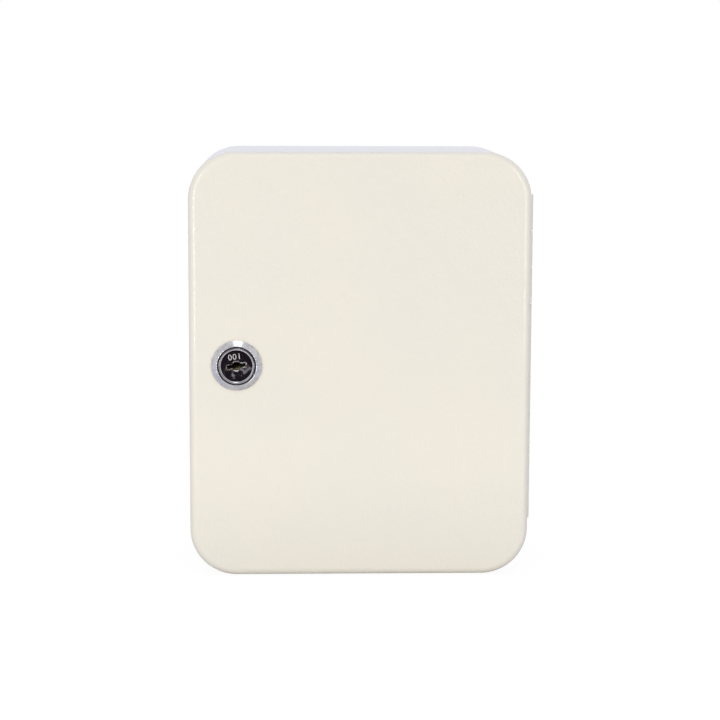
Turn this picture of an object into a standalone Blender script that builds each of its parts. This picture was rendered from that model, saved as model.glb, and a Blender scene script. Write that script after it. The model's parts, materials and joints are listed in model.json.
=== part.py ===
"""Wall key cabinet: a steel case with twenty hooks and a hinged door with a wafer cam lock.

Frame: +Z is up, the wall is the plane Y = 0, the door faces -Y and its hinge is at +X.
The cabinet is modelled closed and unlocked. Constants are millimetres times MM.
"""

import math

import bmesh
import bpy
from mathutils import Matrix, Vector

MM = 0.001

# Case and door
WIDTH = 160 * MM
HEIGHT = 200 * MM
DEPTH = 80 * MM
CORNER_RADIUS = 22 * MM
EDGE_RADIUS = 3.5 * MM
SHEET = 0.8 * MM
TOUCH = 0.3 * MM  # gap left between pieces that touch
SEAM_Y = -60 * MM
SEAM_GAP = 0.8 * MM
RETURN_FLANGE = 8 * MM
PANEL_FLANGE = 8 * MM
CORNER_STEPS = 8
EDGE_STEPS = 4
CUT = 1 * MM  # how far a cutter runs past the surface it cuts

# Wall holes and the raised pads that carry the hook rails
WALL_HOLE_RADIUS = 3.25 * MM
WALL_HOLE_X = 50 * MM
WALL_HOLE_Z = 86 * MM
PAD_RISE = 1.6 * MM
PAD_RADIUS = 6 * MM
PAD_SLOPE = 1.2 * MM
PAD_STEPS = 12

# Hook rails
RAIL_HEIGHTS = [66 * MM, 26 * MM, -14 * MM, -54 * MM]
RAIL_WIDTH = 132 * MM
RAIL_TALL = 24 * MM
RAIL_HOLE_X = 61 * MM
RAIL_HOLE_Z = 3 * MM
HOOK_PITCH = 26 * MM
HOOKS_PER_RAIL = 5
HOOK_WIDTH = 4 * MM
HOOK_ROOT_Z = -3 * MM
HOOK_REACH = 9.5 * MM
HOOK_RISE = 3.2 * MM
HOOK_BEND = 1.6 * MM
WINDOW_WIDTH = 5 * MM
WINDOW_TALL = 12 * MM
STRIP_WIDTH = 126 * MM
STRIP_TALL = 6 * MM
STRIP_Z = -8.2 * MM
STRIP_THICK = 0.3 * MM
RIVET_SHANK = 1.5 * MM
RIVET_HOLE = 1.8 * MM
RIVET_HEAD = 2.7 * MM
RIVET_TAIL = 2.2 * MM
RIVET_STEPS = 10

# Hinge
HINGE_X = 80.4 * MM
HINGE_TOP = 79.8 * MM
KNUCKLE_PITCH = 17.4 * MM
KNUCKLES = 9
KNUCKLE_GAP = 0.5 * MM
KNUCKLE_RADIUS = 2.3 * MM
KNUCKLE_BORE = 1.3 * MM
HINGE_PIN_RADIUS = 1.0 * MM
HINGE_NOTCH = 2.9 * MM
LEAF_THICK = 0.7 * MM
LEAF_REACH = 13 * MM
HINGE_END_ROOM = 2 * MM  # the openings in door and case are this much longer at each end
HINGE_BOTTOM = HINGE_TOP - KNUCKLES * KNUCKLE_PITCH

# Lock: everything in it is turned a little in the door
LOCK_X = -57.7 * MM
LOCK_Z = 0.6 * MM
LOCK_TILT = math.radians(-8)
HEAD_RADIUS = 11.8 * MM
HEAD_RISE = 2.6 * MM
HEAD_EDGE = 0.6 * MM
POCKET_RADIUS = 9.3 * MM
POCKET_RIM = 0.3 * MM
POCKET_DEPTH = 1.6 * MM
BARREL_RADIUS = 9.0 * MM
BARREL_FLATS = 8.0 * MM
BARREL_END = -60.8 * MM
PLUG_RADIUS = 6.2 * MM
PLUG_BORE = 6.5 * MM
FACE_RADIUS = 8.45 * MM
FACE_RIM = 0.9 * MM
FACE_SUNK = 0.3 * MM
FACE_THICK = 1.1 * MM
SHANK_SIDE = 6 * MM
LOCK_STEPS = 32
NUT_FLATS = 12 * MM
NUT_THICK = 4 * MM
WASHER_RADIUS = 13 * MM
WASHER_THICK = 0.8 * MM
CAM_THICK = 1.6 * MM
CAM_LENGTH = 18 * MM
CAM_HALF_WIDTH = 6 * MM
CAM_TIP_HALF_WIDTH = 4 * MM
CAM_TAPER_START = 4 * MM
CAM_TAPER_END = 9 * MM
STOP_RADIUS = 7.5 * MM
STOP_TAB_HALF = 2.5 * MM
STOP_TAB_REACH = 9.5 * MM
SCREW_HEAD_RADIUS = 4 * MM
SCREW_HEAD_TOP = 2.6 * MM
SCREW_HEAD_TALL = 2 * MM
SCREW_RADIUS = 1.3 * MM
SCREW_HOLE_RADIUS = 1.6 * MM
SCREW_LENGTH = 7 * MM

# Key way and the five sprung wafers
KEYWAY_HALF = 5 * MM
KEYWAY_WING = 1.0 * MM
KEYWAY_BULGE = 2.35 * MM
KEYWAY_BULGE_Z = 2.1 * MM
KEYWAY_DEPTH = 19 * MM
WAFERS = 5
WAFER_FIRST_Y = -78.6 * MM
WAFER_PITCH = 2.9 * MM
WAFER_THICK = 0.7 * MM
WAFER_HALF_TALL = 3.4 * MM
WAFER_END = 5.9 * MM
WAFER_SLOT = 1.3 * MM
WAFER_EAR_TOP = 4.6 * MM
WAFER_EAR_X = -1.5 * MM
WAFER_EAR_WIDTH = 0.8 * MM
WAFER_TRAVEL = 0.8 * MM
WAFER_WINDOW_LEFT = -4.8 * MM
WAFER_WINDOW_RIGHT = 4.0 * MM
WAFER_WINDOW_HALF = 1.5 * MM
GROOVE_DEPTH = 1.2 * MM
GROOVE_MARGIN = 0.5 * MM
SPRING_RADIUS = 0.5 * MM
SPRING_WIRE = 0.12 * MM
SPRING_TURNS = 4
SPRING_FROM_X = -0.35 * MM
SPRING_TO_X = 2.5 * MM
SPRING_Z = 4.3 * MM

# Register card held inside the door
CARD_LEFT = -30 * MM
CARD_RIGHT = 62 * MM
CARD_HALF_TALL = 60 * MM
CARD_THICK = 0.4 * MM
CARD_RAIL_LIP = 4.3 * MM
CARD_RAIL_BASE = 6 * MM

SKIRT_END = SEAM_Y - SEAM_GAP / 2
CASE_FRONT = SEAM_Y + SEAM_GAP / 2
DOOR_INSIDE = -DEPTH + SHEET
LOCK_FRAME = Matrix.Translation((LOCK_X, 0, LOCK_Z)) @ Matrix.Rotation(LOCK_TILT, 4, "Y")

MATERIALS = {
    "powder_coat": ((0.83, 0.81, 0.72), 0.42, 0.0),
    "chrome": ((0.62, 0.62, 0.65), 0.16, 1.0),
    "zinc_steel": ((0.52, 0.52, 0.50), 0.38, 1.0),
    "brass": ((0.66, 0.49, 0.22), 0.30, 1.0),
    "spring_steel": ((0.35, 0.35, 0.36), 0.30, 1.0),
    "label_white": ((0.88, 0.88, 0.86), 0.55, 0.0),
    "register_card": ((0.90, 0.89, 0.84), 0.80, 0.0),
}


def clear_scene():
    for obj in list(bpy.data.objects):
        bpy.data.objects.remove(obj, do_unlink=True)


def get_material(name):
    found = bpy.data.materials.get(name)
    if found:
        return found
    color, roughness, metallic = MATERIALS[name]
    made = bpy.data.materials.new(name)
    made.use_nodes = True
    shader = made.node_tree.nodes["Principled BSDF"]
    shader.inputs["Base Color"].default_value = (*color, 1)
    shader.inputs["Roughness"].default_value = roughness
    shader.inputs["Metallic"].default_value = metallic
    made.diffuse_color = (*color, 1)
    return made


# ---- shapes ----------------------------------------------------------------


def loft(bm, rings, closed=False):
    """Skin a chain of equal rings. An open chain gets a flat cap at each end."""
    made = [[bm.verts.new(point) for point in ring] for ring in rings]
    pairs = list(zip(made, made[1:]))
    if closed:
        pairs.append((made[-1], made[0]))
    for low, high in pairs:
        for i in range(len(low)):
            j = (i + 1) % len(low)
            bm.faces.new((low[i], low[j], high[j], high[i]))
    if not closed:
        bm.faces.new(made[0][::-1])
        bm.faces.new(made[-1])


def prism(bm, outline, along):
    """Extrude a flat outline of points by a vector."""
    loft(bm, [outline, [point + along for point in outline]])


def box(bm, low, high):
    x0, y0, z0 = low
    x1, y1, z1 = high
    base = [Vector(p) for p in ((x0, y0, z0), (x1, y0, z0), (x1, y1, z0), (x0, y1, z0))]
    prism(bm, base, Vector((0, 0, z1 - z0)))


def rounded_ring(inset, y):
    """The cabinet's outline, moved inwards, in the plane at y."""
    radius = CORNER_RADIUS - inset
    across = WIDTH / 2 - CORNER_RADIUS
    up = HEIGHT / 2 - CORNER_RADIUS
    ring = []
    for quarter, (side_x, side_z) in enumerate(((1, 1), (-1, 1), (-1, -1), (1, -1))):
        for step in range(CORNER_STEPS + 1):
            angle = math.pi / 2 * (quarter + step / CORNER_STEPS)
            x = side_x * across + radius * math.cos(angle)
            z = side_z * up + radius * math.sin(angle)
            ring.append(Vector((x, y, z)))
    return ring


def circle(radius, y, steps=LOCK_STEPS, flats=None, centre=(0, 0)):
    """A circle about the Y direction. Flats cut it off at plus and minus that x."""
    reach = flats or radius
    ring = []
    for step in range(steps):
        angle = 2 * math.pi * step / steps
        x = max(-reach, min(reach, radius * math.cos(angle)))
        ring.append(Vector((centre[0] + x, y, centre[1] + radius * math.sin(angle))))
    return ring


def turned(bm, profile, steps=LOCK_STEPS, closed=False, centre=(0, 0)):
    """Turn a profile of (radius, y) pairs about the Y direction."""
    loft(bm, [circle(radius, y, steps, centre=centre) for radius, y in profile], closed)


def arc(centre, radius, start, end, steps):
    """Points of a flat arc, as (u, v) pairs, from one angle in degrees to another."""
    points = []
    for step in range(steps + 1):
        angle = math.radians(start + (end - start) * step / steps)
        points.append((centre[0] + radius * math.cos(angle), centre[1] + radius * math.sin(angle)))
    return points


# ---- objects ---------------------------------------------------------------


def solid(name, build, material=None, frame=None):
    """Make an object from a function that fills a bmesh."""
    bm = bmesh.new()
    build(bm)
    bmesh.ops.recalc_face_normals(bm, faces=bm.faces)
    mesh = bpy.data.meshes.new(name)
    bm.to_mesh(mesh)
    bm.free()
    obj = bpy.data.objects.new(name, mesh)
    bpy.context.scene.collection.objects.link(obj)
    if material:
        mesh.materials.append(get_material(material))
    if frame:
        mesh.transform(frame)
    return obj


def combine(target, build, operation, frame=None):
    """Join a shape to the target or cut it away, with an exact Boolean that is applied."""
    tool = solid("tool", build, frame=frame)
    modifier = target.modifiers.new("combine", "BOOLEAN")
    modifier.operation = operation
    modifier.object = tool
    graph = bpy.context.evaluated_depsgraph_get()
    mesh = bpy.data.meshes.new_from_object(target.evaluated_get(graph))
    target.modifiers.clear()
    target.data = mesh
    bpy.data.objects.remove(tool)


def smooth(obj):
    obj.data.shade_smooth()
    obj.data.set_sharp_from_angle(angle=math.radians(35))


def axis_empty(name, frame, parent=None):
    """An empty that stands on a joint's axis, for the pieces that move on it."""
    empty = bpy.data.objects.new(name, None)
    empty.empty_display_size = 10 * MM
    bpy.context.scene.collection.objects.link(empty)
    empty.parent = parent
    empty.matrix_world = frame
    bpy.context.view_layer.update()
    return empty


def attach(pieces, empty):
    """Hang pieces on an empty and leave them where they are."""
    for piece in pieces:
        piece.parent = empty
        piece.matrix_parent_inverse = empty.matrix_world.inverted()
        smooth(piece)


def in_lock(obj):
    """Place a piece that was modelled about the lock's own axis."""
    obj.matrix_world = LOCK_FRAME
    return obj


# ---- case ------------------------------------------------------------------


def case_band():
    """The folded side wall of the case, with its return flange open along the hinge."""
    bend = 1.0 * MM

    def wall(bm):
        profile = [(0, 0), (0, CASE_FRONT + bend), (0.3 * bend, CASE_FRONT + 0.3 * bend)]
        profile += [(bend, CASE_FRONT), (RETURN_FLANGE, CASE_FRONT)]
        profile += [(RETURN_FLANGE, CASE_FRONT + SHEET), (SHEET, CASE_FRONT + SHEET), (SHEET, 0)]
        loft(bm, [rounded_ring(inset, y) for inset, y in profile], closed=True)

    def hinge_opening(bm):
        low = (WIDTH / 2 - RETURN_FLANGE - CUT, CASE_FRONT - CUT, HINGE_BOTTOM - HINGE_END_ROOM)
        high = (WIDTH / 2 + CUT, SEAM_Y + HINGE_NOTCH, HINGE_TOP + HINGE_END_ROOM)
        box(bm, low, high)

    band = solid("case_band", wall, "powder_coat")
    combine(band, hinge_opening, "DIFFERENCE")
    return band


def rail_fixings():
    """Centres (x, z) of the eight rivets that hold the hook rails."""
    return [(side * RAIL_HOLE_X, z + RAIL_HOLE_Z) for z in RAIL_HEIGHTS for side in (-1, 1)]


def back_panel():
    """The back plate, flanged to fit inside the band, with raised pads under the rails."""
    inset = SHEET + TOUCH
    fold = 0.8 * MM

    def tray(bm):
        profile = [(inset + SHEET, -SHEET), (inset + SHEET, -PANEL_FLANGE)]
        profile += [(inset, -PANEL_FLANGE), (inset, -fold), (inset + fold, 0)]
        loft(bm, [rounded_ring(*pair) for pair in profile])

    def pads(bm):
        foot = PAD_RADIUS + PAD_SLOPE
        for centre in rail_fixings():
            profile = [(foot, -SHEET / 2), (foot, -SHEET), (PAD_RADIUS, -SHEET - PAD_RISE)]
            turned(bm, profile, PAD_STEPS, centre=centre)

    def recesses(bm):
        foot = PAD_RADIUS + PAD_SLOPE - SHEET
        for centre in rail_fixings():
            profile = [(foot, CUT), (foot, 0), (PAD_RADIUS - SHEET, -PAD_RISE)]
            turned(bm, profile, PAD_STEPS, centre=centre)

    def holes(bm):
        for centre in rail_fixings():
            front = -SHEET - PAD_RISE - CUT
            turned(bm, [(RIVET_HOLE, front), (RIVET_HOLE, CUT)], RIVET_STEPS, centre=centre)
        for x in (-WALL_HOLE_X, WALL_HOLE_X):
            for z in (-WALL_HOLE_Z, WALL_HOLE_Z):
                profile = [(WALL_HOLE_RADIUS, -SHEET - CUT), (WALL_HOLE_RADIUS, CUT)]
                turned(bm, profile, 16, centre=(x, z))

    panel = solid("back_panel", tray, "powder_coat")
    combine(panel, pads, "UNION")
    combine(panel, recesses, "DIFFERENCE")
    combine(panel, holes, "DIFFERENCE")
    return panel


def hook_outline():
    """Side view of one hook, as (y, z) pairs from its root inside the rail."""
    root = HOOK_ROOT_Z
    tip = root + SHEET + HOOK_BEND + HOOK_RISE
    turn = (-HOOK_REACH + HOOK_BEND + SHEET, root + SHEET + HOOK_BEND)
    outer = arc(turn, HOOK_BEND + SHEET, 270, 180, 4)
    inner = arc(turn, HOOK_BEND, 180, 270, 4)
    ends = [(-HOOK_REACH, tip), (-HOOK_REACH + SHEET, tip)]
    return [(SHEET / 2, root)] + outer + ends + inner + [(SHEET / 2, root + SHEET)]


def hook_rail(number, height):
    """A pressed strip whose five hooks are cut from the windows above them."""
    back = -SHEET - PAD_RISE - TOUCH
    hooks_x = [HOOK_PITCH * (i - (HOOKS_PER_RAIL - 1) / 2) for i in range(HOOKS_PER_RAIL)]

    def strip(bm):
        low = (-RAIL_WIDTH / 2, back - SHEET, height - RAIL_TALL / 2)
        box(bm, low, (RAIL_WIDTH / 2, back, height + RAIL_TALL / 2))

    def windows(bm):
        foot = height + HOOK_ROOT_Z + SHEET + 0.1 * MM
        for x in hooks_x:
            low = (x - WINDOW_WIDTH / 2, back - SHEET - CUT, foot)
            box(bm, low, (x + WINDOW_WIDTH / 2, back + CUT, foot + WINDOW_TALL))
        for x in (-RAIL_HOLE_X, RAIL_HOLE_X):
            profile = [(RIVET_HOLE, back - SHEET - CUT), (RIVET_HOLE, back + CUT)]
            turned(bm, profile, RIVET_STEPS, centre=(x, height + RAIL_HOLE_Z))

    def hooks(bm):
        for x in hooks_x:
            outline = [
                Vector((x - HOOK_WIDTH / 2, back - SHEET + y, height + z)) for y, z in hook_outline()
            ]
            prism(bm, outline, Vector((HOOK_WIDTH, 0, 0)))

    rail = solid(f"hook_rail_{number}", strip, "powder_coat")
    combine(rail, windows, "DIFFERENCE")
    combine(rail, hooks, "UNION")
    return rail


def number_strip(number, height):
    """The printed strip under the hooks of one rail."""
    back = -SHEET - PAD_RISE - SHEET - 2 * TOUCH

    def strip(bm):
        middle = height + STRIP_Z
        low = (-STRIP_WIDTH / 2, back - STRIP_THICK, middle - STRIP_TALL / 2)
        box(bm, low, (STRIP_WIDTH / 2, back, middle + STRIP_TALL / 2))

    return solid(f"number_strip_{number}", strip, "label_white")


def rail_rivet(number, centre):
    """A domed rivet through a rail and its pad, with its tail in the pad's recess."""
    front = -SHEET - PAD_RISE - SHEET - 2 * TOUCH
    tail = -PAD_RISE + TOUCH
    head = [(1.2 * MM, front - 1.1 * MM), (2.2 * MM, front - 0.8 * MM), (RIVET_HEAD, front)]
    shank = [(RIVET_SHANK, front), (RIVET_SHANK, tail)]
    end = [(RIVET_TAIL, tail), (RIVET_TAIL, tail + 0.8 * MM)]

    def body(bm):
        turned(bm, head + shank + end, RIVET_STEPS, centre=centre)

    return solid(f"rail_rivet_{number}", body, "zinc_steel")


# ---- hinge -----------------------------------------------------------------


def knuckle_span(index):
    """Top and bottom of a knuckle, counted down from the top."""
    top = HINGE_TOP - index * KNUCKLE_PITCH - KNUCKLE_GAP / 2
    return top, top - KNUCKLE_PITCH + KNUCKLE_GAP


def hinge_leaf(name, indices, side):
    """A piano hinge leaf. side is +1 for the leaf on the case and -1 for the door's."""
    outside = WIDTH / 2 - SHEET - TOUCH
    shoulder = SEAM_Y + side * HINGE_NOTCH
    reach = SEAM_Y + side * LEAF_REACH
    narrower = 0.3 * MM

    def plate(bm):
        low = (outside - LEAF_THICK, min(shoulder, reach), HINGE_BOTTOM)
        box(bm, low, (outside, max(shoulder, reach), HINGE_TOP))

    def tabs(bm):
        inner = shoulder + side * CUT
        for index in indices:
            top, bottom = knuckle_span(index)
            low = (outside - LEAF_THICK, min(SEAM_Y, inner), bottom + narrower)
            box(bm, low, (outside, max(SEAM_Y, inner), top - narrower))

    def knuckles(bm):
        for index in indices:
            top, bottom = knuckle_span(index)
            profile = [(KNUCKLE_RADIUS, top), (KNUCKLE_BORE, top)]
            profile += [(KNUCKLE_BORE, bottom), (KNUCKLE_RADIUS, bottom)]
            rings = []
            for radius, z in profile:
                flat = arc((HINGE_X, SEAM_Y), radius, 0, 360, 12)[:-1]
                rings.append([Vector((x, y, z)) for x, y in flat])
            loft(bm, rings, closed=True)

    leaf = solid(name, plate, "powder_coat")
    combine(leaf, tabs, "UNION")
    combine(leaf, knuckles, "UNION")
    return leaf


def hinge_pin():
    def pin(bm):
        chamfer = 0.3 * MM
        top, bottom = HINGE_TOP - KNUCKLE_GAP / 2, HINGE_BOTTOM + KNUCKLE_GAP / 2
        narrow = HINGE_PIN_RADIUS - chamfer
        profile = [(narrow, top), (HINGE_PIN_RADIUS, top - chamfer)]
        profile += [(HINGE_PIN_RADIUS, bottom + chamfer), (narrow, bottom)]
        rings = []
        for radius, z in profile:
            flat = arc((HINGE_X, SEAM_Y), radius, 0, 360, 10)[:-1]
            rings.append([Vector((x, y, z)) for x, y in flat])
        loft(bm, rings)

    return solid("hinge_pin", pin, "zinc_steel")


# ---- door ------------------------------------------------------------------


def door_shell():
    """The pressed door pan, with a rolled front edge and a hole with flats for the lock."""
    inner_radius = EDGE_RADIUS - SHEET
    turn = -DEPTH + EDGE_RADIUS

    def pan(bm):
        outer = [(EDGE_RADIUS - u, turn - v) for u, v in arc((0, 0), EDGE_RADIUS, 0, 90, EDGE_STEPS)]
        inner = [(EDGE_RADIUS - u, turn - v) for u, v in arc((0, 0), inner_radius, 90, 0, EDGE_STEPS)]
        profile = inner + [(SHEET, SKIRT_END), (0, SKIRT_END)] + outer
        loft(bm, [rounded_ring(*pair) for pair in profile])

    def lock_hole(bm):
        radius, flats = BARREL_RADIUS + TOUCH, BARREL_FLATS + TOUCH
        loft(bm, [circle(radius, y, flats=flats) for y in (-DEPTH - CUT, DOOR_INSIDE + CUT)])

    def hinge_notch(bm):
        low = (WIDTH / 2 - SHEET - CUT, SEAM_Y - HINGE_NOTCH, HINGE_BOTTOM - HINGE_END_ROOM)
        box(bm, low, (WIDTH / 2 + CUT, SKIRT_END + CUT, HINGE_TOP + HINGE_END_ROOM))

    shell = solid("door_shell", pan, "powder_coat")
    combine(shell, lock_hole, "DIFFERENCE", frame=LOCK_FRAME)
    combine(shell, hinge_notch, "DIFFERENCE")
    return shell


def register_card():
    def sheet(bm):
        front = DOOR_INSIDE + TOUCH
        low = (CARD_LEFT, front, -CARD_HALF_TALL)
        box(bm, low, (CARD_RIGHT, front + CARD_THICK, CARD_HALF_TALL))

    return solid("register_card", sheet, "register_card")


def card_rail(name, edge, side):
    """A Z-shaped strip that holds one edge of the card. side points away from the card."""
    base = DOOR_INSIDE + TOUCH
    lip = base + CARD_THICK + TOUCH
    near, far = edge + side * TOUCH, edge + side * (TOUCH + CARD_RAIL_BASE)
    lip_edge = edge - side * CARD_RAIL_LIP

    def strip(bm):
        outline = [(far, base), (near, base), (near, lip), (lip_edge, lip), (lip_edge, lip + SHEET)]
        outline += [(near + side * SHEET, lip + SHEET), (near + side * SHEET, base + SHEET)]
        outline += [(far, base + SHEET)]
        points = [Vector((x, y, -CARD_HALF_TALL)) for x, y in outline]
        prism(bm, points, Vector((0, 0, 2 * CARD_HALF_TALL)))

    return solid(name, strip, "powder_coat")


# ---- lock ------------------------------------------------------------------


def wafer_y(index):
    """Middle of a wafer along the lock, counted from the key's side."""
    return WAFER_FIRST_Y + index * WAFER_PITCH


def lock_housing():
    """The bevelled head, the flatted barrel and the bore with its two wafer grooves."""
    front = -DEPTH - TOUCH
    nose = -DEPTH - HEAD_RISE
    floor = nose + POCKET_DEPTH

    def outside(bm):
        rings = [circle(POCKET_RADIUS + POCKET_RIM, nose), circle(HEAD_RADIUS, front - HEAD_EDGE)]
        rings.append(circle(HEAD_RADIUS, front))
        rings.append(circle(BARREL_RADIUS, front, flats=BARREL_FLATS))
        rings.append(circle(BARREL_RADIUS, BARREL_END, flats=BARREL_FLATS))
        loft(bm, rings)

    def bore(bm):
        profile = [(POCKET_RADIUS, nose - CUT), (POCKET_RADIUS, floor)]
        profile += [(PLUG_BORE, floor), (PLUG_BORE, BARREL_END + CUT)]
        turned(bm, profile)

    def grooves(bm):
        half = WAFER_HALF_TALL + GROOVE_MARGIN
        start, end = wafer_y(0) - WAFER_SLOT, wafer_y(WAFERS - 1) + WAFER_SLOT
        inner, outer = PLUG_BORE - GROOVE_DEPTH, PLUG_BORE + GROOVE_DEPTH
        box(bm, (-outer, start, -half), (-inner, end, half))
        box(bm, (-half, start, inner), (half, end, outer))

    housing = solid("lock_housing", outside, "chrome")
    combine(housing, bore, "DIFFERENCE")
    combine(housing, grooves, "DIFFERENCE")
    return in_lock(housing)


def lock_washer():
    def ring(bm):
        near = DOOR_INSIDE + TOUCH
        bore = BARREL_RADIUS + TOUCH
        profile = [(bore, near), (WASHER_RADIUS, near)]
        profile += [(WASHER_RADIUS, near + WASHER_THICK), (bore, near + WASHER_THICK)]
        turned(bm, profile, closed=True)

    return in_lock(solid("lock_washer", ring, "zinc_steel"))


def lock_nut():
    """A thin hexagon nut that clamps the barrel to the door."""
    near = DOOR_INSIDE + 2 * TOUCH + WASHER_THICK
    far = near + NUT_THICK
    chamfer = 0.7 * MM

    def hexagon(bm):
        corners = NUT_FLATS / math.cos(math.radians(30))
        rings = [circle(NUT_FLATS, near, 6), circle(corners, near + chamfer, 6)]
        rings += [circle(corners, far - chamfer, 6), circle(NUT_FLATS, far, 6)]
        loft(bm, rings)

    def hole(bm):
        turned(bm, [(BARREL_RADIUS + TOUCH, near - CUT), (BARREL_RADIUS + TOUCH, far + CUT)])

    nut = solid("lock_nut", hexagon, "zinc_steel")
    combine(nut, hole, "DIFFERENCE")
    return in_lock(nut)


def cam_planes():
    """Y of the plug's shoulder, and of each face of the stop washer and the cam."""
    shoulder = BARREL_END + TOUCH
    stop = (shoulder + TOUCH, shoulder + TOUCH + CAM_THICK)
    cam = (stop[1] + TOUCH, stop[1] + TOUCH + CAM_THICK)
    return shoulder, stop, cam


def keyway_outline():
    """The key slot: two narrow wings with a round bulge between them."""
    outline = [(KEYWAY_HALF, -KEYWAY_WING), (KEYWAY_HALF, KEYWAY_WING)]
    outline += [(KEYWAY_BULGE, KEYWAY_WING)]
    outline += [(KEYWAY_BULGE / 2, KEYWAY_BULGE_Z), (-KEYWAY_BULGE / 2, KEYWAY_BULGE_Z)]
    outline += [(-KEYWAY_BULGE, KEYWAY_WING), (-KEYWAY_HALF, KEYWAY_WING)]
    outline += [(-KEYWAY_HALF, -KEYWAY_WING), (-KEYWAY_BULGE, -KEYWAY_WING)]
    outline += [(-KEYWAY_BULGE / 2, -KEYWAY_BULGE_Z), (KEYWAY_BULGE / 2, -KEYWAY_BULGE_Z)]
    return outline + [(KEYWAY_BULGE, -KEYWAY_WING)]


def lock_plug():
    """The turning plug: rimmed face, wafer slots, key slot and square end."""
    rim_edge = 0.2 * MM
    nose = -DEPTH - HEAD_RISE + 0.2 * MM
    under = nose + FACE_THICK
    shoulder, _, (_, shank_end) = cam_planes()

    def body(bm):
        rim = FACE_RADIUS - FACE_RIM
        profile = [(rim - rim_edge, nose + FACE_SUNK), (rim, nose), (FACE_RADIUS - rim_edge, nose)]
        profile += [(FACE_RADIUS, nose + rim_edge), (FACE_RADIUS, under)]
        profile += [(PLUG_RADIUS, under), (PLUG_RADIUS, shoulder)]
        turned(bm, profile)

    def square(bm):
        half = SHANK_SIDE / 2
        box(bm, (-half, shoulder - 2 * MM, -half), (half, shank_end, half))

    def slots(bm):
        half = WAFER_HALF_TALL + TOUCH
        for index in range(WAFERS):
            near, far = wafer_y(index) - WAFER_SLOT / 2, wafer_y(index) + WAFER_SLOT / 2
            box(bm, (-PLUG_RADIUS - CUT, near, -half), (PLUG_RADIUS + CUT, far, half))

    def spring_pockets(bm):
        low_x = WAFER_EAR_X - WAFER_TRAVEL - TOUCH
        top = WAFER_EAR_TOP + TOUCH
        for index in range(WAFERS):
            near, far = wafer_y(index) - WAFER_SLOT / 2, wafer_y(index) + WAFER_SLOT / 2
            box(bm, (low_x, near, WAFER_HALF_TALL), (SPRING_TO_X + TOUCH, far, top))

    def keyway(bm):
        outline = [Vector((x, nose - CUT, z)) for x, z in keyway_outline()]
        prism(bm, outline, Vector((0, KEYWAY_DEPTH + CUT, 0)))

    def screw_hole(bm):
        deep = shank_end - SCREW_LENGTH
        turned(bm, [(SCREW_HOLE_RADIUS, deep), (SCREW_HOLE_RADIUS, shank_end + CUT)], 16)

    plug = solid("lock_plug", body, "chrome")
    combine(plug, square, "UNION")
    for tool in (slots, spring_pockets, keyway, screw_hole):
        combine(plug, tool, "DIFFERENCE")
    return in_lock(plug)


def wafer(index):
    """A sprung brass plate with a window for the key and an ear for its spring."""
    near = wafer_y(index) - WAFER_THICK / 2
    far = near + WAFER_THICK
    ear_end = WAFER_EAR_X + WAFER_EAR_WIDTH

    def plate(bm):
        side = math.degrees(math.asin(WAFER_HALF_TALL / WAFER_END))
        outline = arc((0, 0), WAFER_END, -side, side, 6)
        outline += [(ear_end, WAFER_HALF_TALL), (ear_end, WAFER_EAR_TOP)]
        outline += [(WAFER_EAR_X, WAFER_EAR_TOP), (WAFER_EAR_X, WAFER_HALF_TALL)]
        outline += arc((0, 0), WAFER_END, 180 - side, 180 + side, 6)
        prism(bm, [Vector((x, near, z)) for x, z in outline], Vector((0, WAFER_THICK, 0)))

    def window(bm):
        low = (WAFER_WINDOW_LEFT, near - CUT, -WAFER_WINDOW_HALF)
        box(bm, low, (WAFER_WINDOW_RIGHT, far + CUT, WAFER_WINDOW_HALF))

    plate_obj = solid(f"wafer_{index + 1}", plate, "brass")
    combine(plate_obj, window, "DIFFERENCE")
    return in_lock(plate_obj)


def wafer_spring(index):
    """The small coil that pushes a wafer out through the plug."""
    turn_steps, wire_steps = 6, 4
    count = SPRING_TURNS * turn_steps
    y = wafer_y(index)

    def coil(bm):
        rings = []
        for step in range(count + 1):
            angle = 2 * math.pi * step / turn_steps
            out = Vector((0, math.cos(angle), math.sin(angle)))
            x = SPRING_FROM_X + (SPRING_TO_X - SPRING_FROM_X) * step / count
            centre = Vector((x, y, SPRING_Z)) + out * (SPRING_RADIUS - SPRING_WIRE)
            ring = []
            for around in range(wire_steps):
                turn = 2 * math.pi * around / wire_steps
                ring.append(centre + SPRING_WIRE * (out * math.cos(turn) + Vector((math.sin(turn), 0, 0))))
            rings.append(ring)
        loft(bm, rings)

    return in_lock(solid(f"wafer_spring_{index + 1}", coil, "spring_steel"))


def square_hole(bm):
    half = SHANK_SIDE / 2 + TOUCH
    _, (start, _), (_, end) = cam_planes()
    box(bm, (-half, start - CUT, -half), (half, end + CUT, half))


def stop_washer():
    """A square-holed disc behind the barrel, with a tab that limits the turn."""
    _, (near, far), _ = cam_planes()

    def disc(bm):
        turned(bm, [(STOP_RADIUS, near), (STOP_RADIUS, far)], 28)

    def tab(bm):
        box(bm, (-STOP_TAB_HALF, near, 0), (STOP_TAB_HALF, far, STOP_TAB_REACH))

    washer = solid("stop_washer", disc, "zinc_steel")
    combine(washer, tab, "UNION")
    combine(washer, square_hole, "DIFFERENCE")
    return in_lock(washer)


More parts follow.
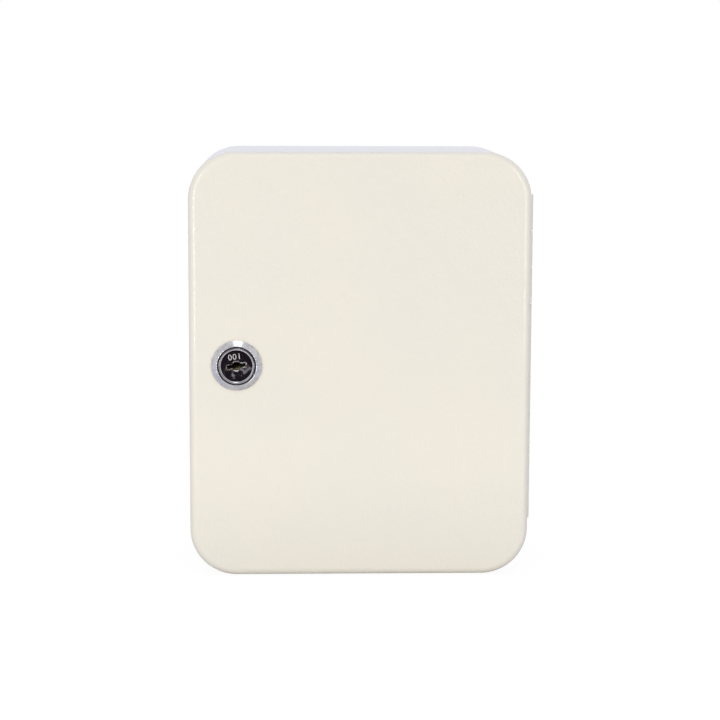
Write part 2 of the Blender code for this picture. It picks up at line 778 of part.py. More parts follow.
def lock_cam():
    """The flat arm that turns behind the case flange. It hangs down when unlocked."""
    _, _, (near, far) = cam_planes()

    def arm(bm):
        across = CAM_TIP_HALF_WIDTH
        tip_drop = -math.sqrt(CAM_LENGTH**2 - across**2)
        outline = arc((0, 0), CAM_HALF_WIDTH, 0, 180, 10)
        outline += [(-CAM_HALF_WIDTH, -CAM_TAPER_START), (-across, -CAM_TAPER_END), (-across, tip_drop)]
        outline += [(0, -CAM_LENGTH), (across, tip_drop)]
        outline += [(across, -CAM_TAPER_END), (CAM_HALF_WIDTH, -CAM_TAPER_START)]
        prism(bm, [Vector((x, near, z)) for x, z in outline], Vector((0, far - near, 0)))

    cam = solid("lock_cam", arm, "zinc_steel")
    combine(cam, square_hole, "DIFFERENCE")
    return in_lock(cam)


def cam_screw():
    """The cross-headed screw that holds the cam on the plug."""
    _, _, (_, cam_face) = cam_planes()
    under = cam_face + TOUCH
    top = under + SCREW_HEAD_TALL
    tip = under - SCREW_LENGTH + 2 * TOUCH
    recess = 1.1 * MM

    def body(bm):
        profile = [(SCREW_RADIUS, tip), (SCREW_RADIUS, under), (SCREW_HEAD_RADIUS, under)]
        profile += [(SCREW_HEAD_RADIUS, top - 0.8 * MM), (SCREW_HEAD_TOP, top)]
        turned(bm, profile, 20)

    def cross(bm):
        wide, thin = 2.1 * MM, 0.45 * MM
        arm = [(wide, -thin), (wide, thin), (thin, thin)]
        outline = []
        for quarter in range(4):
            turn = Matrix.Rotation(math.pi / 2 * quarter, 2)
            outline += [turn @ Vector(point) for point in arm]
        points = [Vector((x, top - recess, z)) for x, z in outline]
        prism(bm, points, Vector((0, recess + CUT, 0)))

    screw = solid("cam_screw", body, "zinc_steel")
    combine(screw, cross, "DIFFERENCE")
    return in_lock(screw)


# ---- assembly --------------------------------------------------------------


def build_case():
    pieces = [case_band(), back_panel(), hinge_leaf("hinge_leaf_case", range(0, KNUCKLES, 2), 1)]
    pieces.append(hinge_pin())
    for number, height in enumerate(RAIL_HEIGHTS, start=1):
        pieces += [hook_rail(number, height), number_strip(number, height)]
    for number, centre in enumerate(rail_fixings(), start=1):
        pieces.append(rail_rivet(number, centre))
    attach(pieces, axis_empty("case", Matrix.Identity(4)))


def build_door():
    axis = axis_empty("door_axis", Matrix.Translation((HINGE_X, SEAM_Y, 0)))
    pieces = [door_shell(), hinge_leaf("hinge_leaf_door", range(1, KNUCKLES, 2), -1)]
    pieces += [register_card(), card_rail("card_rail_left", CARD_LEFT, -1)]
    pieces += [card_rail("card_rail_right", CARD_RIGHT, 1)]
    pieces += [lock_housing(), lock_washer(), lock_nut()]
    attach(pieces, axis)
    return axis


def build_plug(door_axis):
    axis = axis_empty("lock_axis", LOCK_FRAME, door_axis)
    attach([lock_plug(), stop_washer(), lock_cam(), cam_screw()], axis)
    for index in range(WAFERS):
        attach([wafer(index), wafer_spring(index)], axis)


def main():
    clear_scene()
    build_case()
    build_plug(build_door())


main()
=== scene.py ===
"""Looks of the wall key cabinet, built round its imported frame.

Every piece is made in the frame's own metres: +Z up, the wall at Y = 0, the door facing -Y and the
hinge at +X.
"""

import json
from math import asin, atan2, cos, degrees, hypot, pi, radians, sin, sqrt, tan

import bmesh
import bpy
from mathutils import Matrix, Vector


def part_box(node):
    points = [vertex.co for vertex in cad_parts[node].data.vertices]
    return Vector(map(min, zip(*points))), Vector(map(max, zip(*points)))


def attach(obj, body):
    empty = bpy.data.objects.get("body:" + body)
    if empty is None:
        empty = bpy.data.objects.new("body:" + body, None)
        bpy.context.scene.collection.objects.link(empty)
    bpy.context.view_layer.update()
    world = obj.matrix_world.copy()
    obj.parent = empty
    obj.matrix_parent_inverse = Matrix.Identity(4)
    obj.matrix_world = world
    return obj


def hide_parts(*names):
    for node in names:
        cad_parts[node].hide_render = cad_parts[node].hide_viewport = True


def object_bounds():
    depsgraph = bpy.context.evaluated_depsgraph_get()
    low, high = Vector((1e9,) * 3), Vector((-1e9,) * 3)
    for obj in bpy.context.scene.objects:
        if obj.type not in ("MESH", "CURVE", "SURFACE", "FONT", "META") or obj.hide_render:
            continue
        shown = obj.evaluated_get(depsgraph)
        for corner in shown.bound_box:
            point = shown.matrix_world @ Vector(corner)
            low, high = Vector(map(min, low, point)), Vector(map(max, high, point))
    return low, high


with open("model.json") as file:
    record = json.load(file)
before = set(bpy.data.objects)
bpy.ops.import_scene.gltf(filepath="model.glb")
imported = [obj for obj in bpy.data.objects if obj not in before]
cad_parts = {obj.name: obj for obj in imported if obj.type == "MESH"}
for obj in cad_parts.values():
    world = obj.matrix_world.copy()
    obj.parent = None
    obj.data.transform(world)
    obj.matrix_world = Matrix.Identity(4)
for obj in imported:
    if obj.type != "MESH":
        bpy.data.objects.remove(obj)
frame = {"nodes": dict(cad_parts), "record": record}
CAD_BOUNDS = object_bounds()

MM = 0.001
SCENE = bpy.context.scene
RECORD = frame["record"]
BODY_OF = {node: body for body, nodes in RECORD["behaviour"]["bodies"].items() for node in nodes}

# Case and door. TOUCH is the gap between welded parts, CUT how far a cutter passes what it cuts.
DOOR_LOW, DOOR_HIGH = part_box("door_shell")
CASE_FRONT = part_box("case_band")[0].y
WIDTH = DOOR_HIGH.x - DOOR_LOW.x
HEIGHT = DOOR_HIGH.z - DOOR_LOW.z
CORNER_RADIUS = 22 * MM
EDGE_RADIUS = 3.5 * MM
SHEET = 0.8 * MM
TRIM = 0.2 * MM
TOUCH = 0.3 * MM
RETURN_FLANGE = 8 * MM
PANEL_FLANGE = 8 * MM
CORNER_STEPS = 24
EDGE_STEPS = 10
CUT = 1 * MM
TINY = 0.01 * MM
SEAM_Y = (DOOR_HIGH.y + CASE_FRONT) / 2

# Back panel, hook rails and labels. Rails and rivets are counted from 1.
RAILS = range(1, 5)
RIVETS = range(1, 9)
PAD_RISE = 1.6 * MM
PAD_FOOT = 7.4 * MM
PAD_TOP = 5.8 * MM
RIVET_HOLE = 1.8 * MM
WALL_HOLE = 3.25 * MM
WALL_HOLE_X = 50 * MM
WALL_HOLE_Z = 86 * MM
HOOK_PITCH = 26 * MM
HOOKS_X = [HOOK_PITCH * place for place in (-2, -1, 0, 1, 2)]
HOOK_WIDTH = 4 * MM
HOOK_ROOT_Z = -3 * MM
HOOK_REACH = 9.5 * MM
HOOK_RISE = 3.2 * MM
HOOK_BEND = 1.6 * MM
WINDOW_WIDTH = 5 * MM
WINDOW_TALL = 12 * MM
PRINT_THICK = 0.04 * MM
STRIP_TEXT = 4.6 * MM
CARD_TEXT = 5.2 * MM
CARD_MARGIN = 7 * MM

# Hinge
HINGE_LOW, HINGE_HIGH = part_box("hinge_leaf_case")
PIN_LOW, PIN_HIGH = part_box("hinge_pin")
HINGE_X = (PIN_LOW.x + PIN_HIGH.x) / 2
HINGE_NOTCH = 2.9 * MM
HINGE_SPACE = 2 * MM
KNUCKLES = 9
KNUCKLE_PITCH = (HINGE_HIGH.z - HINGE_LOW.z) / KNUCKLES
KNUCKLE_GAP = 0.5 * MM
KNUCKLE_RADIUS = 2.3 * MM
KNUCKLE_BORE = 1.4 * MM
LEAF_OUTSIDE = WIDTH / 2 - SHEET - TOUCH
LEAF_THICK = 0.7 * MM
LEAF_REACH = 13 * MM

# Lock
WAFERS = range(1, 6)
HOUSING_LOW, HOUSING_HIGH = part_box("lock_housing")
LOCK_X = (HOUSING_LOW.x + HOUSING_HIGH.x) / 2
LOCK_Z = (HOUSING_LOW.z + HOUSING_HIGH.z) / 2
LOCK_TILT = radians(-8)
LOCK_FRAME = Matrix.Translation((LOCK_X, 0, LOCK_Z)) @ Matrix.Rotation(LOCK_TILT, 4, "Y")
LOCK_STEPS = 96
HEAD_RADIUS = (HOUSING_HIGH.x - HOUSING_LOW.x) / 2
POCKET_RADIUS = 9.3 * MM
LIP_RADIUS = 9.1 * MM
BEVEL_RADIUS = 9.35 * MM
BARREL_RADIUS = 9.0 * MM
BARREL_FLATS = 8.0 * MM
PLUG_RADIUS = 6.2 * MM
PLUG_BORE = 6.5 * MM
FACE_RADIUS = 8.45 * MM
THREAD_PITCH = 1.0 * MM
THREAD_DEPTH = 0.35 * MM
STAMP_TEXT = 3.9 * MM


# ---- shapes ----


def loft(bm, rings, closed=False):
    """Skin a chain of equal rings. An open chain gets a flat cap at each end."""
    made = [[bm.verts.new(point) for point in ring] for ring in rings]
    pairs = list(zip(made, made[1:]))
    if closed:
        pairs.append((made[-1], made[0]))
    for low, high in pairs:
        for i in range(len(low)):
            j = (i + 1) % len(low)
            bm.faces.new((low[i], low[j], high[j], high[i]))
    if not closed:
        bm.faces.new(made[0][::-1])
        bm.faces.new(made[-1])


def prism(bm, outline, along):
    """Extrude a flat outline of points by a vector."""
    loft(bm, [outline, [point + along for point in outline]])


def box(bm, low, high):
    """A block between two opposite corners."""
    x0, y0, z0 = low
    x1, y1, z1 = high
    base = [Vector(p) for p in ((x0, y0, z0), (x1, y0, z0), (x1, y1, z0), (x0, y1, z0))]
    prism(bm, base, Vector((0, 0, z1 - z0)))


def block(low, high):
    """A build function for a box."""
    return lambda bm: box(bm, low, high)


def spread(start, end, steps):
    """Evenly spaced numbers, with both ends."""
    return [start + (end - start) * step / steps for step in range(steps + 1)]


def arc(centre, radius, start, end, steps):
    """Points of a flat arc, as (u, v) pairs, from one angle in degrees to another."""
    angles = [radians(angle) for angle in spread(start, end, steps)]
    return [(centre[0] + radius * cos(a), centre[1] + radius * sin(a)) for a in angles]


def rounded_rect(low, high, radius, steps=5):
    """Flat outline, as (u, v) pairs, of a rectangle with round corners."""
    left, right = low[0] + radius, high[0] - radius
    bottom, top = low[1] + radius, high[1] - radius
    points = []
    for quarter, centre in enumerate(((right, top), (left, top), (left, bottom), (right, bottom))):
        points += arc(centre, radius, 90 * quarter, 90 * quarter + 90, steps)
    return points


def cabinet_ring(inset, y):
    """The cabinet's outline, moved inwards, in the plane at y."""
    side, top = WIDTH / 2 - inset, HEIGHT / 2 - inset
    return standing(rounded_rect((-side, -top), (side, top), CORNER_RADIUS - inset, CORNER_STEPS), y)


def standing(outline, y):
    """Points across the Y direction from (x, z) pairs."""
    return [Vector((x, y, z)) for x, z in outline]


def circle(radius, y, steps=LOCK_STEPS, centre=(0, 0)):
    """A circle about the Y direction."""
    return standing(arc(centre, radius, 0, 360, steps)[:-1], y)


def threaded(y, crest, depth, pitch, steps=LOCK_STEPS):
    """One ring of a screw thread: its radius leaves the crest by the depth and comes back."""
    ring = []
    for i, point in enumerate(circle(1, 0, steps)):
        radius = crest - depth * abs(2 * ((y / pitch - i / steps) % 1) - 1)
        ring.append(Vector((point.x * radius, y, point.z * radius)))
    return ring


def flattened(ring, reach):
    """Give a ring two flats, at that reach to each side."""
    return [Vector((max(-reach, min(reach, point.x)), point.y, point.z)) for point in ring]


def turned(bm, profile, steps=LOCK_STEPS, centre=(0, 0)):
    """Turn a profile of (radius, y) pairs about the Y direction."""
    loft(bm, [circle(radius, y, steps, centre) for radius, y in profile])


def rounded(corner, before, after, radius, steps=4):
    """A profile corner replaced by a small arc that is tangent to both of its sides."""
    corner, before, after = Vector(corner), Vector(before), Vector(after)
    one, two = (before - corner).normalized(), (after - corner).normalized()
    half = one.angle(two) / 2
    reach = radius / tan(half)
    centre = corner + (one + two).normalized() * (radius / sin(half))
    start, end = corner + one * reach - centre, corner + two * reach - centre
    turn = pi - 2 * half
    points = []
    for share in spread(0, turn, steps):
        point = (start * sin(turn - share) + end * sin(share)) / sin(turn)
        points.append(tuple(centre + point))
    return points


def soft_profile(corners, radius):
    """A closed profile of (u, v) corners with each corner rounded by the given radius."""
    points = []
    for i, corner in enumerate(corners):
        points += rounded(corner, corners[i - 1], corners[(i + 1) % len(corners)], radius)
    return points


def plate(bm, outline, near, far):
    """A flat plate across the Y direction from an outline of (x, z) pairs."""
    prism(bm, standing(outline, near), Vector((0, far - near, 0)))


def pressed(foot, top, base, rise, steps=8):
    """Profile of a pressed dimple that rises smoothly from its foot to its flat top."""
    profile = []
    for share in spread(0, 1, steps):
        height = share * share * (3 - 2 * share)
        profile.append((foot + (top - foot) * share, base - rise * height))
    return profile


def middle_of(node):
    """The middle of a node's box, as an (x, z) pair."""
    low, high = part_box(node)
    return (low.x + high.x) / 2, (low.z + high.z) / 2


def faces_of(node):
    """The Y of a node's front and back."""
    low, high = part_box(node)
    return low.y, high.y


# ---- objects ----


def add_object(name, data):
    obj = bpy.data.objects.new(name, data)
    SCENE.collection.objects.link(obj)
    return obj


def edit(mesh, *steps):
    """Run bmesh steps on a mesh."""
    bm = bmesh.new()
    bm.from_mesh(mesh)
    for step in steps:
        step(bm)
    bm.to_mesh(mesh)
    bm.free()


def face_outwards(bm):
    bmesh.ops.recalc_face_normals(bm, faces=bm.faces)


def merge_doubles(bm):
    """Merge points that a Boolean or a font has left on top of each other."""
    bmesh.ops.remove_doubles(bm, verts=bm.verts, dist=0.001 * MM)


def dissolve_flat(bm):
    """Join neighbouring faces that lie in one plane."""
    flat = radians(1)
    bmesh.ops.dissolve_limit(bm, angle_limit=flat, verts=bm.verts, edges=bm.edges, delimit={"MATERIAL"})


def solid(name, build, material=None, transform=None):
    """Make an object from a function that fills a bmesh."""
    mesh = bpy.data.meshes.new(name)
    edit(mesh, build, face_outwards)
    if material:
        mesh.materials.append(material)
    if transform:
        mesh.transform(transform)
    return add_object(name, mesh)


def evaluated(obj):
    """The mesh that an object's modifiers or its text make."""
    graph = bpy.context.evaluated_depsgraph_get()
    return bpy.data.meshes.new_from_object(obj.evaluated_get(graph))


def apply_modifiers(obj):
    mesh = evaluated(obj)
    obj.modifiers.clear()
    obj.data = mesh


def use_tool(target, tool, operation, transfer=False):
    """Run a Boolean with a tool object. With transfer, the new faces keep the tool's material."""
    modifier = target.modifiers.new("combine", "BOOLEAN")
    modifier.operation = operation
    modifier.material_mode = "TRANSFER" if transfer else "INDEX"
    modifier.object = tool
    apply_modifiers(target)
    edit(target.data, merge_doubles)
    bpy.data.objects.remove(tool)


def combine(target, build, operation, material=None, transform=None):
    """Join a shape to the target or cut it away. A material given here goes on the new faces."""
    use_tool(target, solid("tool", build, material, transform), operation, bool(material))


def carve(target, *builds, material=None, transform=None):
    """Cut one or more shapes away."""
    for build in builds:
        combine(target, build, "DIFFERENCE", material, transform)


def soften(obj, width, angle=35, segments=2):
    """Round the sharp edges of a piece."""
    edit(obj.data, merge_doubles, dissolve_flat)
    modifier = obj.modifiers.new("soften", "BEVEL")
    modifier.width = width
    modifier.segments = segments
    modifier.limit_method = "ANGLE"
    modifier.angle_limit = radians(angle)
    apply_modifiers(obj)


def paint(obj, material, chosen):
    """Put one more material on the faces whose middle passes a test."""
    obj.data.materials.append(material)
    slot = len(obj.data.materials) - 1
    for face in obj.data.polygons:
        if chosen(face.center):
            face.material_index = slot


def within(inner, outer, near, far):
    """A test for points between two radii and between two depths."""
    return lambda p: inner <= hypot(p.x, p.z) < outer and near < p.y < far


def ride_with(obj, node):
    """Let a piece move with a node's body."""
    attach(obj, BODY_OF[node])


def finish_piece(obj, node, sharp=35):
    """Shade a piece and let it stand for a node of the frame."""
    obj.data.shade_smooth()
    obj.data.set_sharp_from_angle(angle=radians(sharp))
    flatter = obj.modifiers.new("flatter", "WEIGHTED_NORMAL")
    flatter.keep_sharp = True
    apply_modifiers(obj)
    ride_with(obj, node)
    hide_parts(node)


# ---- materials ----


def set_sockets(node, numbers):
    for key, number in numbers.items():
        node.inputs[key].default_value = number


def add_node(tree, kind, numbers=None, **values):
    """Add a shader node, set its properties and give numbers to its input sockets."""
    node = tree.nodes.new("ShaderNode" + kind)
    for key, value in values.items():
        setattr(node, key, value)
    set_sockets(node, numbers or {})
    return node


class Finish:
    """A Principled material and short ways to feed it from procedural nodes."""

    def __init__(self, name, color, roughness, metallic=0.0):
        self.material = bpy.data.materials.new(name)
        self.material.use_nodes = True
        self.tree = self.material.node_tree
        self.shader = self.tree.nodes["Principled BSDF"]
        numbers = {"Base Color": (*color, 1), "Roughness": roughness, "Metallic": metallic}
        set_sockets(self.shader, numbers)
        self.where = self.node("TexCoord").outputs["Object"]
        self.height = None

    def node(self, kind, numbers=None, **values):
        return add_node(self.tree, kind, numbers, **values)

    def link(self, source, target):
        """Feed a target from a socket, or from a noise given as its size and detail."""
        if isinstance(source, tuple):
            source = self.noise(*source)
        self.tree.links.new(source, target)

    def noise(self, size, detail, stretch=(1, 1, 1)):
        """Noise whose lumps are about size across, in millimetres."""
        mapping = self.node("Mapping", {"Scale": stretch})
        made = self.node("TexNoise", {"Scale": 1 / (size * MM), "Detail": detail})
        self.link(self.where, mapping.inputs["Vector"])
        self.link(mapping.outputs["Vector"], made.inputs["Vector"])
        return made.outputs["Fac"]

    def cells(self, size):
        """Rounded cells, the shape of orange peel, about size across in millimetres."""
        made = self.node("TexVoronoi", {"Scale": 1 / (size * MM), "Smoothness": 1}, feature="SMOOTH_F1")
        self.link(self.where, made.inputs["Vector"])
        return made.outputs["Distance"]

    def ranged(self, value, low, high, to_low, to_high):
        limits = {"From Min": low, "From Max": high, "To Min": to_low, "To Max": to_high}
        made = self.node("MapRange", limits)
        self.link(value, made.inputs["Value"])
        return made.outputs["Result"]

    def below(self, value, low, high, rest):
        """Keep a value under a height and shrink it to that rest above."""
        parts = self.node("SeparateXYZ")
        self.link(self.where, parts.inputs["Vector"])
        product = self.node("Math", operation="MULTIPLY")
        self.link(value, product.inputs[0])
        self.link(self.ranged(parts.outputs["Z"], low, high, 1, rest), product.inputs[1])
        return product.outputs["Value"]

    def vary_color(self, value, low, high, other, most=1.0):
        """Mix the base colour towards another colour where value is high."""
        factor = self.ranged(value, low, high, 0, most)
        base = self.shader.inputs["Base Color"]
        mix = self.node("Mix", {"A": base.default_value, "B": (*other, 1)}, data_type="RGBA")
        if base.is_linked:
            self.link(base.links[0].from_socket, mix.inputs["A"])
        self.link(factor, mix.inputs["Factor"])
        self.link(mix.outputs["Result"], base)

    def vary_roughness(self, value, smooth, rough, low=0.3, high=0.7):
        self.link(self.ranged(value, low, high, smooth, rough), self.shader.inputs["Roughness"])

    def bump(self, value, distance):
        """Add a bump of that height, in millimetres."""
        made = self.node("Bump", {"Distance": distance * MM})
        self.link(value, made.inputs["Height"])
        if self.height:
            self.link(self.height, made.inputs["Normal"])
        self.height = made.outputs["Normal"]
        self.link(self.height, self.shader.inputs["Normal"])


def powder_coat():
    """Cream powder coat: orange peel over a fine grain, with faint shade changes."""
    finish = Finish("cream_powder_coat", (0.838, 0.795, 0.69), 0.36)
    set_sockets(finish.shader, {"Coat Weight": 0.3, "Coat Roughness": 0.09})
    finish.bump((9, 1), 0.05)
    finish.bump(finish.cells(1.5), 0.13)
    finish.bump((0.5, 2), 0.02)
    finish.vary_color((60, 3), 0.35, 0.75, (0.815, 0.785, 0.690))
    finish.vary_color((0.7, 1), 0.62, 0.80, (0.86, 0.83, 0.75), 0.5)
    finish.vary_roughness((4, 3), 0.36, 0.50)
    return finish.material


def satin_chrome():
    """Plated bevel of the lock: cloudy patches, slight waves and a fine grain."""
    finish = Finish("satin_chrome", (0.86, 0.855, 0.865), 0.16, 1.0)
    finish.vary_roughness((1.2, 4), 0.11, 0.20)
    finish.vary_color((2.2, 4), 0.45, 0.72, (0.66, 0.65, 0.67))
    finish.bump((2, 2), 0.02)
    finish.bump((0.25, 2), 0.0006)
    return finish.material


def mirror_chrome():
    """Polished face of the plug, with hairlines and with scuffs mostly below the key slot."""
    finish = Finish("mirror_chrome", (0.60, 0.57, 0.60), 0.07, 1.0)
    scuffs = finish.below((2.4, 5), LOCK_Z - MM, LOCK_Z + MM, 0.8)
    finish.vary_roughness(scuffs, 0.05, 0.25, 0.46, 0.68)
    finish.bump((0.35, 2, (1, 1, 6)), 0.0005)
    finish.bump((5, 1), 0.012)
    return finish.material


def grimy_metal():
    """Near-black metal that paints shade into the lock's groove and into the depth of its key slot."""
    finish = Finish("grimy_metal", (0.020, 0.016, 0.020), 0.55, 0.3)
    finish.vary_color((0.5, 3), 0.45, 0.8, (0.07, 0.065, 0.06), 0.7)
    finish.vary_roughness((0.3, 2), 0.45, 0.70)
    finish.bump((0.2, 2), 0.01)
    return finish.material


def bright_cut():
    """Uneven bright metal, stained in places, on the chamfer of the key slot."""
    finish = Finish("bright_cut", (0.76, 0.74, 0.74), 0.24, 1.0)
    finish.vary_color((1.3, 2), 0.44, 0.54, (0.13, 0.11, 0.085))
    finish.vary_roughness((0.4, 2), 0.12, 0.34)
    finish.bump((0.9, 2), 0.32)
    finish.bump((0.15, 1), 0.004)
    return finish.material


def etched_metal():
    """Matt floor of the stamped number."""
    finish = Finish("etched_metal", (0.66, 0.64, 0.63), 0.62, 1.0)
    finish.vary_roughness((0.3, 2), 0.52, 0.75)
    finish.bump((0.12, 2), 0.012)
    return finish.material


def zinc_plate():
    """Bright zinc plating with faint crystal patches and handling marks."""
    finish = Finish("zinc_plate", (0.62, 0.62, 0.61), 0.34, 1.0)
    finish.vary_color((3, 4), 0.35, 0.7, (0.50, 0.51, 0.53))
    finish.vary_roughness((1.2, 3), 0.26, 0.46)
    finish.bump((0.3, 3), 0.008)
    return finish.material


def stamped_brass():
    """Tarnished brass with stamping lines."""
    finish = Finish("stamped_brass", (0.72, 0.60, 0.34), 0.34, 1.0)
    finish.vary_color((0.8, 3), 0.4, 0.7, (0.34, 0.27, 0.14))
    finish.vary_roughness((0.5, 2), 0.22, 0.42)
    finish.bump((0.2, 2, (4, 1, 1)), 0.004)
    return finish.material


def spring_wire():
    """Drawn steel wire."""
    finish = Finish("spring_wire", (0.36, 0.36, 0.38), 0.28, 1.0)
    finish.vary_roughness((0.3, 2), 0.22, 0.36)
    finish.bump((0.1, 1), 0.002)
    return finish.material


def label_film():
    """Matt white plastic film."""
    finish = Finish("label_film", (0.86, 0.86, 0.84), 0.48)
    finish.vary_color((14, 2), 0.4, 0.8, (0.835, 0.835, 0.81))
    finish.vary_roughness((2, 2), 0.44, 0.56)
    finish.bump((0.4, 2), 0.006)
    return finish.material


def card_stock():
    """Uncoated card: fibres and a slight warm mottling."""
    finish = Finish("card_stock", (0.88, 0.86, 0.80), 0.82)
    finish.vary_color((20, 3), 0.4, 0.75, (0.865, 0.84, 0.775))
    finish.vary_color((0.6, 3, (1, 1, 4)), 0.60, 0.8, (0.80, 0.77, 0.70), 0.4)
    finish.bump((0.35, 3, (1, 1, 3)), 0.02)
    return finish.material


def print_ink():
    """Black ink with thin spots."""
    finish = Finish("print_ink", (0.035, 0.037, 0.045), 0.5)
    finish.vary_color((0.5, 2), 0.55, 0.8, (0.10, 0.10, 0.11), 0.6)
    finish.bump((0.3, 2), 0.004)
    return finish.material


# ---- door ----


def door_shell(coat):
    """The pressed door pan, its rolled front edge and its trimmed skirt."""
    turn = DOOR_LOW.y + EDGE_RADIUS
    inner_radius = EDGE_RADIUS - SHEET

    def pan(bm):
        outer = [(EDGE_RADIUS - u, turn - v) for u, v in arc((0, 0), EDGE_RADIUS, 0, 90, EDGE_STEPS)]
        inner = [(EDGE_RADIUS - u, turn - v) for u, v in arc((0, 0), inner_radius, 90, 0, EDGE_STEPS)]
        rim = [(SHEET, DOOR_HIGH.y - TRIM), (SHEET - TRIM, DOOR_HIGH.y)]
        rim += [(TRIM, DOOR_HIGH.y), (0, DOOR_HIGH.y - TRIM)]
        flat = EDGE_RADIUS + 0.6 * MM
        profile = [(flat, DOOR_LOW.y + SHEET)] + inner + rim + outer + [(flat, DOOR_LOW.y)]
        loft(bm, [cabinet_ring(*pair) for pair in profile])

    def lock_hole(bm):
        ends = (DOOR_LOW.y - CUT, DOOR_LOW.y + SHEET + CUT)
        loft(bm, [flattened(circle(BARREL_RADIUS + TOUCH, y), BARREL_FLATS + TOUCH) for y in ends])

    notch_low = (WIDTH / 2 - SHEET - CUT, SEAM_Y - HINGE_NOTCH, HINGE_LOW.z - HINGE_SPACE)
    notch_high = (WIDTH / 2 + CUT, SEAM_Y + CUT, HINGE_HIGH.z + HINGE_SPACE)
    shell = solid("door_pan", pan, coat)
    carve(shell, lock_hole, transform=LOCK_FRAME)
    carve(shell, block(notch_low, notch_high))
    finish_piece(shell, "door_shell")


def case_band(coat):
    """The case's side wall, bent inwards at the front except along the hinge."""
    bend, front = 1.0 * MM, CASE_FRONT

    def wall(bm):
        outer = [(bend - u, front + bend - v) for u, v in arc((0, 0), bend, 0, 90, 5)]
        profile = [(0, -TRIM)] + outer
        profile += [(RETURN_FLANGE - TRIM, front), (RETURN_FLANGE, front + TRIM)]
        profile += [(RETURN_FLANGE, front + SHEET - TRIM), (RETURN_FLANGE - TRIM, front + SHEET)]
        profile += [(SHEET, front + SHEET), (SHEET, -TRIM), (SHEET - TRIM, 0), (TRIM, 0)]
        loft(bm, [cabinet_ring(inset, y) for inset, y in profile], closed=True)

    opening_low = (WIDTH / 2 - RETURN_FLANGE - CUT, front - CUT, HINGE_LOW.z - HINGE_SPACE)
    opening_high = (WIDTH / 2 + CUT, SEAM_Y + HINGE_NOTCH, HINGE_HIGH.z + HINGE_SPACE)
    band = solid("case_wall", wall, coat)
    carve(band, block(opening_low, opening_high))
    finish_piece(band, "case_band")


# ---- hinge ----


def hinge_leaf(node, indices, side, coat):
    """A rolled piano hinge leaf. side is +1 for the leaf on the case and -1 for the door's."""
    shoulder = SEAM_Y + side * HINGE_NOTCH
    reach = SEAM_Y + side * LEAF_REACH
    inner_x, outer_x = LEAF_OUTSIDE - LEAF_THICK, LEAF_OUTSIDE
    roll_start, roll_end, overlap = 180, 485, 10

    def roll(bottom):
        axis = (HINGE_X, 0)
        outline = [(inner_x, HINGE_NOTCH + CUT)] + arc(axis, KNUCKLE_RADIUS, roll_start, roll_end, 40)
        outline += arc(axis, KNUCKLE_BORE, roll_end, roll_start + overlap, 36)
        outline += [(outer_x, 0.6 * MM), (outer_x, HINGE_NOTCH + CUT)]
        return [Vector((x, SEAM_Y + side * y, bottom)) for x, y in outline]

    def knuckle(index):
        top = HINGE_HIGH.z - index * KNUCKLE_PITCH - KNUCKLE_GAP / 2
        tall = KNUCKLE_PITCH - KNUCKLE_GAP

        def build(bm):
            prism(bm, roll(top - tall), Vector((0, 0, tall)))

        return build

    low = (inner_x, min(shoulder, reach), HINGE_LOW.z)
    high = (outer_x, max(shoulder, reach), HINGE_HIGH.z)
    leaf = solid(f"{node}_rolled", block(low, high), coat)
    for index in indices:
        combine(leaf, knuckle(index), "UNION")
    soften(leaf, 0.08 * MM, angle=50, segments=1)
    finish_piece(leaf, node)


def hinge_pin(zinc):
    """The pin, with its ends rounded over."""
    radius = (PIN_HIGH.y - PIN_LOW.y) / 2
    dome = arc((0, 0), 1, 0, 75, 5)
    tall = 0.4 * MM

    def pin(bm):
        top = [(radius * u, PIN_HIGH.z - (1 - v) * tall) for u, v in dome]
        bottom = [(radius * u, PIN_LOW.z + (1 - v) * tall) for u, v in dome]
        rings = []
        for r, z in top[::-1] + bottom:
            rings.append([Vector((x, y, z)) for x, y in arc((HINGE_X, SEAM_Y), r, 0, 360, 32)[:-1]])
        loft(bm, rings)

    finish_piece(solid("hinge_pin_round", pin, zinc), "hinge_pin")


# ---- lock ----


def finish_in_lock(obj, node, sharp=35):
    """Move a piece that was made about the lock's own axis to the lock, and finish it."""
    obj.data.transform(LOCK_FRAME)
    finish_piece(obj, node, sharp)


